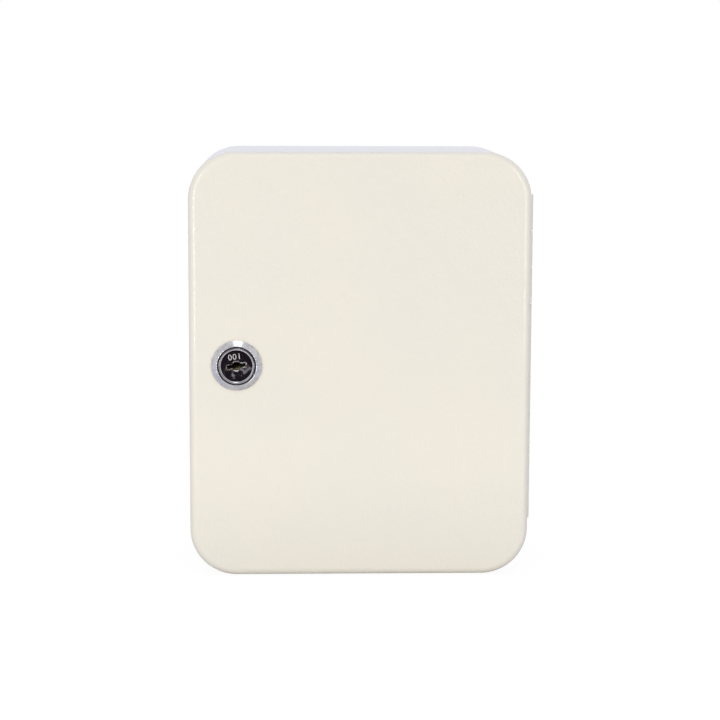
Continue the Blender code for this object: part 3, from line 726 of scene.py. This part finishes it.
def lock_housing(chrome, painted_shade):
    """The bevelled head, its pocket for the plug's face, and the threaded barrel."""
    nose, rear = HOUSING_LOW.y, HOUSING_HIGH.y
    seat = DOOR_LOW.y - TOUCH
    floor = nose + 1.6 * MM

    def body(bm):
        inside = [(PLUG_BORE, rear - 0.3 * MM), (PLUG_BORE, floor), (POCKET_RADIUS, floor)]
        inside += [(POCKET_RADIUS, nose + 0.6 * MM), (LIP_RADIUS, nose + 0.45 * MM)]
        lip, bevel = (LIP_RADIUS, nose + 0.15 * MM), (BEVEL_RADIUS, nose)
        rim = (HEAD_RADIUS, seat - 0.6 * MM)
        head = [lip] + rounded(bevel, lip, rim, 0.10 * MM)
        head += rounded(rim, bevel, (HEAD_RADIUS, seat), 0.15 * MM)
        head += [(HEAD_RADIUS, seat - 0.1 * MM), (HEAD_RADIUS - 0.1 * MM, seat)]
        barrel = [circle(BARREL_RADIUS, seat), circle(BARREL_RADIUS, seat + MM)]
        for y in spread(seat + 1.2 * MM, rear - 0.8 * MM, 110):
            barrel.append(threaded(y, BARREL_RADIUS, THREAD_DEPTH, THREAD_PITCH))
        rings = [circle(*pair) for pair in inside + head]
        rings += [flattened(ring, BARREL_FLATS) for ring in barrel]
        rings += [circle(BARREL_FLATS - 0.1 * MM, rear), circle(PLUG_BORE + 0.3 * MM, rear)]
        loft(bm, rings, closed=True)

    space = 0.9 * MM
    start, end = faces_of("wafer_1")[0] - space, faces_of(f"wafer_{WAFERS[-1]}")[1] + space
    inner, outer, half = 5.3 * MM, 7.7 * MM, 3.9 * MM
    housing = solid("lock_head_and_barrel", body, chrome)
    carve(housing, block((-outer, start, -half), (-inner, end, half)))
    carve(housing, block((-half, start, inner), (half, end, outer)))
    # Painted shade: the pocket's wall and floor behind the bevel are made near-black.
    paint(housing, painted_shade, within(0, POCKET_RADIUS + TINY, nose + 0.4 * MM, floor + CUT))
    finish_in_lock(housing, "lock_housing")


def keyway_outline(grow):
    """The key slot, widened by grow: two wings with rounded ends and a round bulge between."""
    long, tall, bulge, corner = 4.5 * MM, 0.90 * MM, 2.05 * MM, 0.45 * MM
    meet = degrees(asin((tall + grow) / (bulge + grow)))
    outline = []
    for side, turn in ((1, 0), (-1, 180)):
        x, z = side * (long - corner), side * (tall - corner)
        outline += arc((x, -z), corner + grow, turn - 90, turn, 4)
        outline += arc((x, z), corner + grow, turn, turn + 90, 4)
        outline += arc((0, 0), bulge + grow, turn + meet, turn + 180 - meet, 14)
    return outline


def raised_text(text, size, thick, material, spacing=1.0):
    """Mesh of thin closed numerals that face -Y, centred on the origin."""
    curve = bpy.data.curves.new("text", "FONT")
    curve.body = text
    curve.size = size
    curve.extrude = thick / 2
    curve.space_character = spacing
    curve.align_x, curve.align_y = "CENTER", "CENTER"
    curve.resolution_u = 4
    source = add_object("text", curve)
    mesh = evaluated(source)
    bpy.data.objects.remove(source)
    edit(mesh, merge_doubles, face_outwards)
    mesh.materials.clear()
    mesh.materials.append(material)
    mesh.transform(Matrix.Rotation(pi / 2, 4, "X"))
    return mesh


def lock_plug(polished, satin, bright, etched, painted_shade):
    """The plug: rimmed mirror face with its number and key slot, wafer slots and square end."""
    top, end = faces_of("lock_plug")
    face, under = top + 0.3 * MM, top + 1.1 * MM
    shoulder = HOUSING_HIGH.y + TOUCH
    teeth = 70
    steps = 4 * teeth
    half_tall, half_thick = 3.7 * MM, 0.65 * MM
    middles = [sum(faces_of(f"wafer_{number}")) / 2 for number in WAFERS]

    def milled(radius, y, depth):
        """A ring whose points step in and out, two by two, as the teeth of the rim."""
        ring = circle(radius, y, steps)
        for i, point in enumerate(ring):
            point.y += depth * (i // 2 % 2)
        return ring

    def body(bm):
        inner = [(7.2 * MM, face), (7.45 * MM, face), (7.55 * MM, face - 0.15 * MM)]
        inner += [(7.75 * MM, top + 0.02 * MM), (7.92 * MM, top)]
        outer = [(FACE_RADIUS, top + 0.24 * MM), (FACE_RADIUS, under), (PLUG_RADIUS, under)]
        outer += [(PLUG_RADIUS, shoulder - 0.3 * MM), (PLUG_RADIUS - 0.3 * MM, shoulder)]
        rings = [circle(radius, y, steps) for radius, y in inner]
        rings += [milled(7.98 * MM, top, 0.14 * MM), milled(8.38 * MM, top + 0.03 * MM, 0.16 * MM)]
        loft(bm, rings + [circle(radius, y, steps) for radius, y in outer])

    def wafer_slots(bm):
        reach = PLUG_RADIUS + CUT
        for y in middles:
            box(bm, (-reach, y - half_thick, -half_tall), (reach, y + half_thick, half_tall))

    def spring_pockets(bm):
        side = half_thick - TINY
        for y in middles:
            box(bm, (-2.6 * MM, y - side, 3.4 * MM), (2.8 * MM, y + side, 4.9 * MM))

    def keyway(bm):
        chamfer = 0.5 * MM
        stations = ((chamfer, face - CUT), (chamfer, face), (0, face + 0.75 * chamfer), (0, face + 19 * MM))
        loft(bm, [standing(keyway_outline(grow), y) for grow, y in stations])

    def screw_hole(bm):
        turned(bm, [(1.6 * MM, end - 7 * MM), (1.6 * MM, end + CUT)], 32)

    square = 3 * MM
    plug = solid("lock_plug_turned", body, polished)
    combine(plug, block((-square, shoulder - 2 * MM, -square), (square, end, square)), "UNION")
    carve(plug, wafer_slots, spring_pockets)
    carve(plug, keyway, material=bright)
    carve(plug, screw_hole)
    number = raised_text("001", STAMP_TEXT, 0.24 * MM, etched, spacing=1.12)
    number.transform(Matrix.Translation((-0.3 * MM, face, 4.3 * MM)))
    use_tool(plug, add_object("tool", number), "DIFFERENCE", transfer=True)
    paint(plug, satin, within(7.4 * MM, 7.95 * MM, top - CUT, face - TINY))
    # Painted shade: the plug's side wall down in the groove is made near-black.
    paint(plug, painted_shade, within(FACE_RADIUS - TINY, HEAD_RADIUS, top + 0.2 * MM, end))
    # Painted shade: the key slot's walls more than 0.4 mm below the face are made near-black.
    paint(plug, painted_shade, within(0, PLUG_RADIUS - 0.5 * MM, face + 0.4 * MM, shoulder - MM))
    finish_in_lock(plug, "lock_plug", sharp=20)


def wafer_plates(brass):
    """The wafers, with the edges of the stamping rounded."""
    for number in WAFERS:
        node = frame["nodes"][f"wafer_{number}"]
        plate = add_object(f"wafer_plate_{number}", node.data.copy())
        plate.data.materials.clear()
        plate.data.materials.append(brass)
        soften(plate, 0.06 * MM)
        finish_piece(plate, f"wafer_{number}")


def wafer_springs(wire):
    """The coil springs beside the wafers, as round wire."""
    turns, steps, around = 5, 100, 10
    wire_radius, coil_radius = 0.11 * MM, 0.36 * MM
    inverse = LOCK_FRAME.inverted()
    for number in WAFERS:
        node = frame["nodes"][f"wafer_spring_{number}"]
        points = [inverse @ vertex.co for vertex in node.data.vertices]
        low, high = (Vector([pick(axis) for axis in zip(*points)]) for pick in (min, max))
        middle = (low + high) / 2

        def coil(bm):
            rings = []
            places = spread(low.x + wire_radius, high.x - wire_radius, steps)
            for x, angle in zip(places, spread(0, 2 * pi * turns, steps)):
                out = Vector((0, cos(angle), sin(angle)))
                centre = Vector((x, middle.y, middle.z)) + out * coil_radius
                section = arc((0, 0), wire_radius, 0, 360, around)[:-1]
                rings.append([centre + out * u + Vector((v, 0, 0)) for u, v in section])
            loft(bm, rings)

        spring = solid(f"spring_coil_{number}", coil, wire)
        finish_in_lock(spring, f"wafer_spring_{number}")


def lock_nut(zinc):
    """A thin hexagon nut, chamfered as if turned, with a threaded bore."""
    near, far = faces_of("lock_nut")
    corners = 12 * MM / cos(radians(30))
    bore, mouth, lead = BARREL_RADIUS + TOUCH, BARREL_RADIUS + 0.7 * MM, 0.4 * MM

    def hexagon(bm):
        turned(bm, [(corners, near), (corners, far)], 6)

    def chamfered(bm):
        slope, wide, narrow = 1.0 * MM, corners + 0.2 * MM, corners - 1.6 * MM
        turned(bm, [(narrow, near), (wide, near + slope), (wide, far - slope), (narrow, far)])

    def hole(bm):
        rings = [circle(mouth, near - CUT), circle(mouth, near), circle(bore, near + lead)]
        for y in spread(near + 0.5 * MM, far - 0.5 * MM, 26):
            rings.append(threaded(y, bore, -0.25 * MM, THREAD_PITCH))
        loft(bm, rings + [circle(bore, far - lead), circle(mouth, far), circle(mouth, far + CUT)])

    nut = solid("hexagon_nut", hexagon, zinc)
    combine(nut, chamfered, "INTERSECT")
    carve(nut, hole)
    finish_in_lock(nut, "lock_nut", sharp=25)


def lock_washer(zinc):
    """A shakeproof washer: a ring whose inner edge is cut into twisted teeth."""
    near, far = faces_of("lock_washer")
    outer, root, tooth_root, bore = 13 * MM, 11 * MM, 10.5 * MM, BARREL_RADIUS + TOUCH
    teeth, steps = 16, 192
    lean, lip = 0.12 * MM, 0.1 * MM
    front, back = near + lean, far - lean

    def toothed(y):
        ring = []
        for i, point in enumerate(circle(1.0, 0, steps)):
            phase = 2 * pi * teeth * i / steps
            radius = bore if sin(phase) > -0.35 else tooth_root
            ring.append(Vector((point.x * radius, y + lean * cos(phase), point.z * radius)))
        return ring

    def body(bm):
        profile = [(root, front), (outer - lip, front), (outer, front + lip)]
        profile += [(outer, back - lip), (outer - lip, back), (root, back)]
        rings = [circle(radius, y, steps) for radius, y in profile]
        loft(bm, rings + [toothed(back), toothed(front)], closed=True)

    finish_in_lock(solid("toothed_washer", body, zinc), "lock_washer", sharp=30)


def square_hole(bm):
    """Cutter for the square hole by which the cam and the stop washer sit on the plug."""
    half = 3.3 * MM
    near, far = faces_of("stop_washer")[0], faces_of("lock_cam")[1]
    plate(bm, rounded_rect((-half, -half), (half, half), 0.3 * MM), near - CUT, far + CUT)


def stop_washer(zinc):
    """The punched disc whose tab limits the turn."""
    near, far = faces_of("stop_washer")
    radius, tab_half, tab_reach = 7.5 * MM, 2.5 * MM, 9.5 * MM

    def disc(bm):
        turned(bm, [(radius, near), (radius, far)])

    def tab(bm):
        plate(bm, rounded_rect((-tab_half, 0), (tab_half, tab_reach), 0.5 * MM), near, far)

    washer = solid("punched_stop_washer", disc, zinc)
    combine(washer, tab, "UNION")
    carve(washer, square_hole)
    soften(washer, 0.15 * MM)
    finish_in_lock(washer, "stop_washer")


def lock_cam(zinc):
    """The flat arm that turns behind the case flange, with a rounded tip and edges."""
    near, far = faces_of("lock_cam")
    hub, tip, length = 6 * MM, 4 * MM, 18 * MM
    taper_start, taper_end, corner = -4 * MM, -9 * MM, 1.2 * MM
    tip_middle = -sqrt((length - corner) ** 2 - (tip - corner) ** 2)
    swing = degrees(atan2(tip - corner, -tip_middle))

    def arm(bm):
        outline = arc((0, 0), hub, 0, 180, 24) + [(-hub, taper_start), (-tip, taper_end)]
        outline += arc((corner - tip, tip_middle), corner, 180, 270 - swing, 6)
        outline += arc((0, 0), length, 270 - swing, 270 + swing, 8)[1:-1]
        outline += arc((tip - corner, tip_middle), corner, 270 + swing, 360, 6)
        outline += [(tip, taper_end), (hub, taper_start)]
        plate(bm, outline, near, far)

    cam = solid("punched_cam", arm, zinc)
    carve(cam, square_hole)
    soften(cam, 0.15 * MM, angle=40)
    finish_in_lock(cam, "lock_cam")


def cam_screw(zinc):
    """A pan head screw with a tapered cross recess and a rolled thread."""
    start, top = faces_of("cam_screw")
    head, crown, thread, depth = 4.0 * MM, 2.3 * MM, 1.3 * MM, 0.3 * MM
    under, lip, lead = top - 2 * MM, 0.15 * MM, 0.4 * MM
    waist = under + 0.7 * MM
    pitch, steps = 0.5 * MM, 48

    def body(bm):
        rings = [circle(0.7 * MM, start, steps)]
        rings += [threaded(y, thread, depth, pitch, steps) for y in spread(start + lead, under - lead, 60)]
        profile = [(thread, under), (head - lip, under), (head, under + lip)]
        for u, v in arc((0, 0), 1, 0, 80, 8):
            profile.append((crown + (head - crown) * u, waist + (top - waist) * v))
        profile.append((1.6 * MM, top))
        loft(bm, rings + [circle(radius, y, steps) for radius, y in profile])

    def cross(bm):
        rings = []
        for wide, thin, y in ((1.3 * MM, 0.25 * MM, top - 1.1 * MM), (2.2 * MM, 0.5 * MM, top + 0.1 * MM)):
            outline = []
            for quarter in range(4):
                turn = Matrix.Rotation(pi / 2 * quarter, 2)
                outline += [turn @ Vector(point) for point in ((wide, -thin), (wide, thin), (thin, thin))]
            rings.append(standing(outline, y))
        loft(bm, rings)

    screw = solid("pan_head_screw", body, zinc)
    carve(screw, cross)
    finish_in_lock(screw, "cam_screw", sharp=30)


# ---- back panel, hooks and labels ----


def back_panel(coat):
    """The back plate with its folded flange, pressed pads and punched holes."""
    inset = SHEET + TOUCH
    inner = inset + SHEET
    far_in = inner + 10 * MM
    rim = -PANEL_FLANGE
    rivets = [middle_of(f"rail_rivet_{number}") for number in RIVETS]

    def tray(bm):
        profile = [(far_in, -SHEET)] + rounded((inner, -SHEET), (far_in, -SHEET), (inner, rim), 0.4 * MM)
        profile += rounded((inner, rim), (inner, 0), (inset, rim), 0.25 * MM)
        profile += rounded((inset, rim), (inner, rim), (inset, 0), 0.25 * MM)
        profile += rounded((inset, 0), (inset, rim), (far_in, 0), 0.8 * MM, 6) + [(far_in, 0)]
        loft(bm, [cabinet_ring(*pair) for pair in profile])

    def dimples(shrink, start, base, rise):
        """A build function for the pads, or for the recesses behind them."""
        foot, top = PAD_FOOT - shrink, PAD_TOP - shrink

        def build(bm):
            for centre in rivets:
                turned(bm, [(foot, start)] + pressed(foot, top, base, rise), 48, centre=centre)

        return build

    def holes(bm):
        for centre in rivets:
            turned(bm, [(RIVET_HOLE, -4 * MM), (RIVET_HOLE, CUT)], 24, centre=centre)
        for x in (-WALL_HOLE_X, WALL_HOLE_X):
            for z in (-WALL_HOLE_Z, WALL_HOLE_Z):
                turned(bm, [(WALL_HOLE, -2 * MM), (WALL_HOLE, CUT)], 40, centre=(x, z))

    panel = solid("pressed_back", tray, coat)
    combine(panel, dimples(0, -SHEET / 2, TINY - SHEET, PAD_RISE + TINY), "UNION")
    carve(panel, dimples(SHEET, CUT, 0, PAD_RISE), holes)
    finish_piece(panel, "back_panel")


def hook_shape():
    """Side view of one hook, as (y, z) pairs from its root inside the rail."""
    turn = (-HOOK_REACH + HOOK_BEND + SHEET, HOOK_ROOT_Z + SHEET + HOOK_BEND)
    outer = arc(turn, HOOK_BEND + SHEET, 270, 180, 12)
    inner = arc(turn, HOOK_BEND, 180, 270, 12)
    crown = arc((-HOOK_REACH + SHEET / 2, turn[1] + HOOK_RISE - SHEET / 2), SHEET / 2, 180, 0, 8)
    return [(SHEET / 2, HOOK_ROOT_Z)] + outer + crown + inner + [(SHEET / 2, HOOK_ROOT_Z + SHEET)]


def hook_rail(number, coat):
    """A pressed strip with round-cornered windows, and the hooks bent out of them."""
    low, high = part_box(f"hook_rail_{number}")
    back, front = high.y, high.y - SHEET
    height = (low.z + high.z) / 2

    def strip(bm):
        plate(bm, rounded_rect((low.x, low.z), (high.x, high.z), 1.5 * MM), front, back)

    def windows(bm):
        foot = height + HOOK_ROOT_Z + SHEET + 0.1 * MM
        half = WINDOW_WIDTH / 2
        for x in HOOKS_X:
            outline = rounded_rect((x - half, foot), (x + half, foot + WINDOW_TALL), 0.8 * MM)
            plate(bm, outline, front - CUT, back + CUT)

    def hooks(bm):
        for x in HOOKS_X:
            outline = [Vector((x - HOOK_WIDTH / 2, front + y, height + z)) for y, z in hook_shape()]
            prism(bm, outline, Vector((HOOK_WIDTH, 0, 0)))

    rail = solid(f"pressed_hook_rail_{number}", strip, coat)
    carve(rail, windows)
    combine(rail, hooks, "UNION")
    soften(rail, 0.12 * MM, angle=40)
    finish_piece(rail, f"hook_rail_{number}")


def rail_rivet(number, zinc):
    """A domed rivet with its flared tail."""
    node = f"rail_rivet_{number}"
    low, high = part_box(node)
    head, shank, flare, end = (high.x - low.x) / 2, 1.5 * MM, 2.2 * MM, 1.2 * MM
    seat, tail = low.y + 1.1 * MM, high.y - 0.8 * MM
    lip = 0.1 * MM

    def body(bm):
        brim = seat - lip
        profile = [(head * u, brim - (brim - low.y) * v) for u, v in arc((0, 0), 1, 86, 0, 10)]
        profile += [(head - lip, seat), (shank, seat), (shank, tail), (flare - lip, tail)]
        profile += [(flare, tail + 0.15 * MM), (flare - 0.2 * MM, high.y - 0.15 * MM), (end, high.y)]
        turned(bm, profile, 32, centre=middle_of(node))

    finish_piece(solid(f"domed_rivet_{number}", body, zinc), node, sharp=50)


def printed(name, node, ink, size, facing, marks):
    """One thin piece of print on a node, from (text, x, y, z) marks of one size and facing."""

    def marking(bm):
        for text, *place in marks:
            mesh = raised_text(text, size, PRINT_THICK, ink)
            mesh.transform(Matrix.Translation(place) @ Matrix.Rotation(facing, 4, "Z"))
            bm.from_mesh(mesh)

    mesh = bpy.data.meshes.new(name)
    edit(mesh, marking)
    mesh.materials.append(ink)
    ride_with(add_object(name, mesh), node)


def number_strip(number, film, ink):
    """A stuck label with the numbers of the five hooks above it."""
    node = f"number_strip_{number}"
    low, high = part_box(node)

    def label(bm):
        plate(bm, rounded_rect((low.x, low.z), (high.x, high.z), 0.8 * MM), low.y + PRINT_THICK, high.y)

    finish_piece(solid(f"label_strip_{number}", label, film), node)
    marks = []
    first = (number - 1) * len(HOOKS_X) + 1
    for hook, x in enumerate(HOOKS_X, first):
        marks.append((str(hook), x, low.y + PRINT_THICK / 2, (low.z + high.z) / 2))
    printed(f"hook_numbers_{number}", node, ink, STRIP_TEXT, 0, marks)


def register_card(stock, ink):
    """The key list on the inside of the door: ruled lines and a number for each hook."""
    low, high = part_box("register_card")
    paper = high.y - PRINT_THICK
    left, right = low.x + CARD_MARGIN, high.x - CARD_MARGIN
    top, bottom = high.z - 8 * MM, low.z + 6 * MM
    rows, half_line, column = 10, 0.15 * MM, 5 * MM
    pitch = (top - bottom) / rows

    def sheet(bm):
        plate(bm, rounded_rect((low.x, low.z), (high.x, high.z), 1.5 * MM), low.y, paper)

    def ruling(bm):
        near, far = paper - PRINT_THICK / 2, paper + PRINT_THICK / 2
        for z in spread(bottom, top, rows):
            box(bm, (left, near, z - half_line), (right, far, z + half_line))

    finish_piece(solid("ruled_card", sheet, stock), "register_card")
    ride_with(solid("card_ruling", ruling, ink), "register_card")
    marks = []
    for x, before in ((right - column, 0), ((left + right) / 2 - column, rows)):
        for row in range(rows):
            marks.append((str(before + row + 1), x, paper, top - pitch * (row + 0.5)))
    printed("card_numbers", "register_card", ink, CARD_TEXT, pi, marks)


def card_rail(node, coat):
    """A bent strip that holds one edge of the card."""
    low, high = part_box(node)
    card_low, card_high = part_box("register_card")
    side = 1 if high.x > card_high.x else -1
    edge, far = (card_high.x, high.x) if side > 0 else (card_low.x, low.x)
    near, lip_edge = edge + side * TOUCH, low.x if side > 0 else high.x
    inside = near + side * SHEET
    base, lip = low.y, high.y - SHEET

    def strip(bm):
        outline = [(far, base), (near, base), (near, lip), (lip_edge, lip), (lip_edge, lip + SHEET)]
        outline += [(inside, lip + SHEET), (inside, base + SHEET)]
        soft = soft_profile(outline + [(far, base + SHEET)], 0.25 * MM)
        prism(bm, [Vector((x, y, low.z)) for x, y in soft], Vector((0, 0, high.z - low.z)))

    finish_piece(solid(f"bent_{node}", strip, coat), node)


# ---- studio ----


CAMERA_AZIMUTH = radians(2.09)
CAMERA_ELEVATION = radians(7.92)
CAMERA_ROLL = radians(0.20)
CAMERA_DISTANCE = 0.9694
CAMERA_LENS = 103.5
CAMERA_SENSOR = 36
CAMERA_AIM = Vector((0, DOOR_LOW.y, 3.1 * MM))
LIGHT_AIM = Vector((0, DOOR_LOW.y, 0))
TENT_FRONT = (0.62, 0.62, 0.64)
TENT_BACK = (0.93, 0.96, 1.12)
OPENING_COLOR = (0.02, 0.015, 0.02)
OPENING_DIRECTION = (0.03, -0.985, -0.17)
OPENING_STRETCH = (1 / 0.24, 1, 1 / 0.70)
FLOOR_HALF = 4.0
FLOOR_FRONT = -0.55
FLOOR_THICK = 10 * MM
FLOOR_GLOW = 1.08
FLOOR_GLOW_SHARE = 0.86

# Each light's place, size, power and colour
OVERHEAD_SOFTBOX = ((-0.005, -0.50, 0.95), (0.38, 0.50), 0.9, (0.96, 0.97, 1.0))
LEFT_STRIP = ((-0.66, -1.28, 0.13), (0.16, 0.62), 6.3, (1.0, 0.985, 0.96))
RIGHT_STRIP = ((0.66, -1.28, 0.13), (0.16, 0.62), 4.5, (1.0, 0.985, 0.96))


def aim_camera():
    """The camera looks at the door from a little above and to the left."""
    flat, drop = cos(CAMERA_ELEVATION), sin(CAMERA_ELEVATION)
    across, along = sin(CAMERA_AZIMUTH), cos(CAMERA_AZIMUTH)
    forward = Vector((across * flat, along * flat, -drop))
    side = Vector((along, -across, 0))
    right = side * cos(CAMERA_ROLL) + side.cross(forward) * sin(CAMERA_ROLL)
    data = bpy.data.cameras.new("camera")
    data.lens = CAMERA_LENS
    data.sensor_width = CAMERA_SENSOR
    camera = add_object("camera", data)
    place = Matrix((right, right.cross(forward), -forward)).transposed().to_4x4()
    place.translation = CAMERA_AIM - forward * CAMERA_DISTANCE
    camera.matrix_world = place
    SCENE.camera = camera


def area_light(name, place, size, power, color):
    """A rectangular light turned towards the door."""
    data = bpy.data.lights.new(name, "AREA")
    data.shape = "RECTANGLE"
    data.size, data.size_y = size
    data.energy = power
    data.color = color
    light = add_object(name, data)
    light.location = place
    light.rotation_euler = (LIGHT_AIM - Vector(place)).to_track_quat("-Z", "Y").to_euler()
    return light


def studio_world():
    """A pale tent, cooler behind, with a dark upright opening in front for the photographer."""
    world = bpy.data.worlds.new("studio")
    SCENE.world = world
    world.use_nodes = True
    tree = world.node_tree
    direction = add_node(tree, "TexCoord").outputs["Generated"]

    def vector_step(operation, value, source, output="Vector"):
        step = add_node(tree, "VectorMath", {1: value}, operation=operation)
        tree.links.new(source, step.inputs[0])
        return step.outputs[output]

    def blend(share, low, high, first, second):
        """Go from the first colour to the second as share goes from low to high."""
        limits = {"From Min": low, "From Max": high}
        ramp = add_node(tree, "MapRange", limits, interpolation_type="SMOOTHSTEP")
        tree.links.new(share, ramp.inputs["Value"])
        mix = add_node(tree, "Mix", data_type="RGBA")
        tree.links.new(ramp.outputs["Result"], mix.inputs["Factor"])
        for socket, color in (("A", first), ("B", second)):
            if isinstance(color, tuple):
                mix.inputs[socket].default_value = (*color, 1)
            else:
                tree.links.new(color, mix.inputs[socket])
        return mix.outputs["Result"]

    backwards = vector_step("DOT_PRODUCT", (0, 0.8, 0.6), direction, "Value")
    tent = blend(backwards, 0.25, 0.8, TENT_FRONT, TENT_BACK)
    offset = vector_step("SUBTRACT", OPENING_DIRECTION, direction)
    upright = vector_step("MULTIPLY", OPENING_STRETCH, offset)
    aside = vector_step("LENGTH", (0, 0, 0), upright, "Value")
    shaded = blend(aside, 0.75, 1.15, OPENING_COLOR, tent)
    seen = add_node(tree, "LightPath").outputs["Is Camera Ray"]
    tree.links.new(blend(seen, 0, 1, shaded, (1, 1, 1)), tree.nodes["Background"].inputs["Color"])


def studio_floor():
    """A pale floor that the camera sees nearly white, with only a faint shadow on it."""
    finish = Finish("pale_floor", (0.66, 0.66, 0.67), 0.8)
    glow = finish.node("Emission", {"Strength": FLOOR_GLOW})
    seen = finish.node("LightPath")
    share = finish.node("Math", {1: FLOOR_GLOW_SHARE}, operation="MULTIPLY")
    mix = finish.node("MixShader")
    finish.link(seen.outputs["Is Camera Ray"], share.inputs[0])
    finish.link(share.outputs["Value"], mix.inputs["Fac"])
    finish.link(finish.shader.outputs["BSDF"], mix.inputs[1])
    finish.link(glow.outputs["Emission"], mix.inputs[2])
    finish.link(mix.outputs["Shader"], finish.tree.nodes["Material Output"].inputs["Surface"])

    def sheet(bm):
        top = CAD_BOUNDS[0][2] - TOUCH
        box(bm, (-FLOOR_HALF, FLOOR_FRONT, top - FLOOR_THICK), (FLOOR_HALF, FLOOR_HALF, top))

    solid("floor", sheet, finish.material)


def build_studio():
    aim_camera()
    studio_world()
    studio_floor()
    area_light("overhead_softbox", *OVERHEAD_SOFTBOX).visible_diffuse = False
    area_light("left_strip", *LEFT_STRIP)
    area_light("right_strip", *RIGHT_STRIP)
    SCENE.view_settings.view_transform = "Standard"


# ---- assembly ----


def main():
    build_studio()
    coat, zinc, brass, wire = powder_coat(), zinc_plate(), stamped_brass(), spring_wire()
    door_shell(coat)
    case_band(coat)
    hinge_leaf("hinge_leaf_case", range(0, KNUCKLES, 2), 1, coat)
    hinge_leaf("hinge_leaf_door", range(1, KNUCKLES, 2), -1, coat)
    hinge_pin(zinc)
    chrome, painted_shade = satin_chrome(), grimy_metal()
    lock_housing(chrome, painted_shade)
    lock_plug(mirror_chrome(), chrome, bright_cut(), etched_metal(), painted_shade)
    wafer_plates(brass)
    wafer_springs(wire)
    for make in (lock_nut, lock_washer, stop_washer, lock_cam, cam_screw):
        make(zinc)
    back_panel(coat)
    film, ink = label_film(), print_ink()
    for number in RAILS:
        hook_rail(number, coat)
        number_strip(number, film, ink)
    for number in RIVETS:
        rail_rivet(number, zinc)
    register_card(card_stock(), ink)
    card_rail("card_rail_left", coat)
    card_rail("card_rail_right", coat)


main()
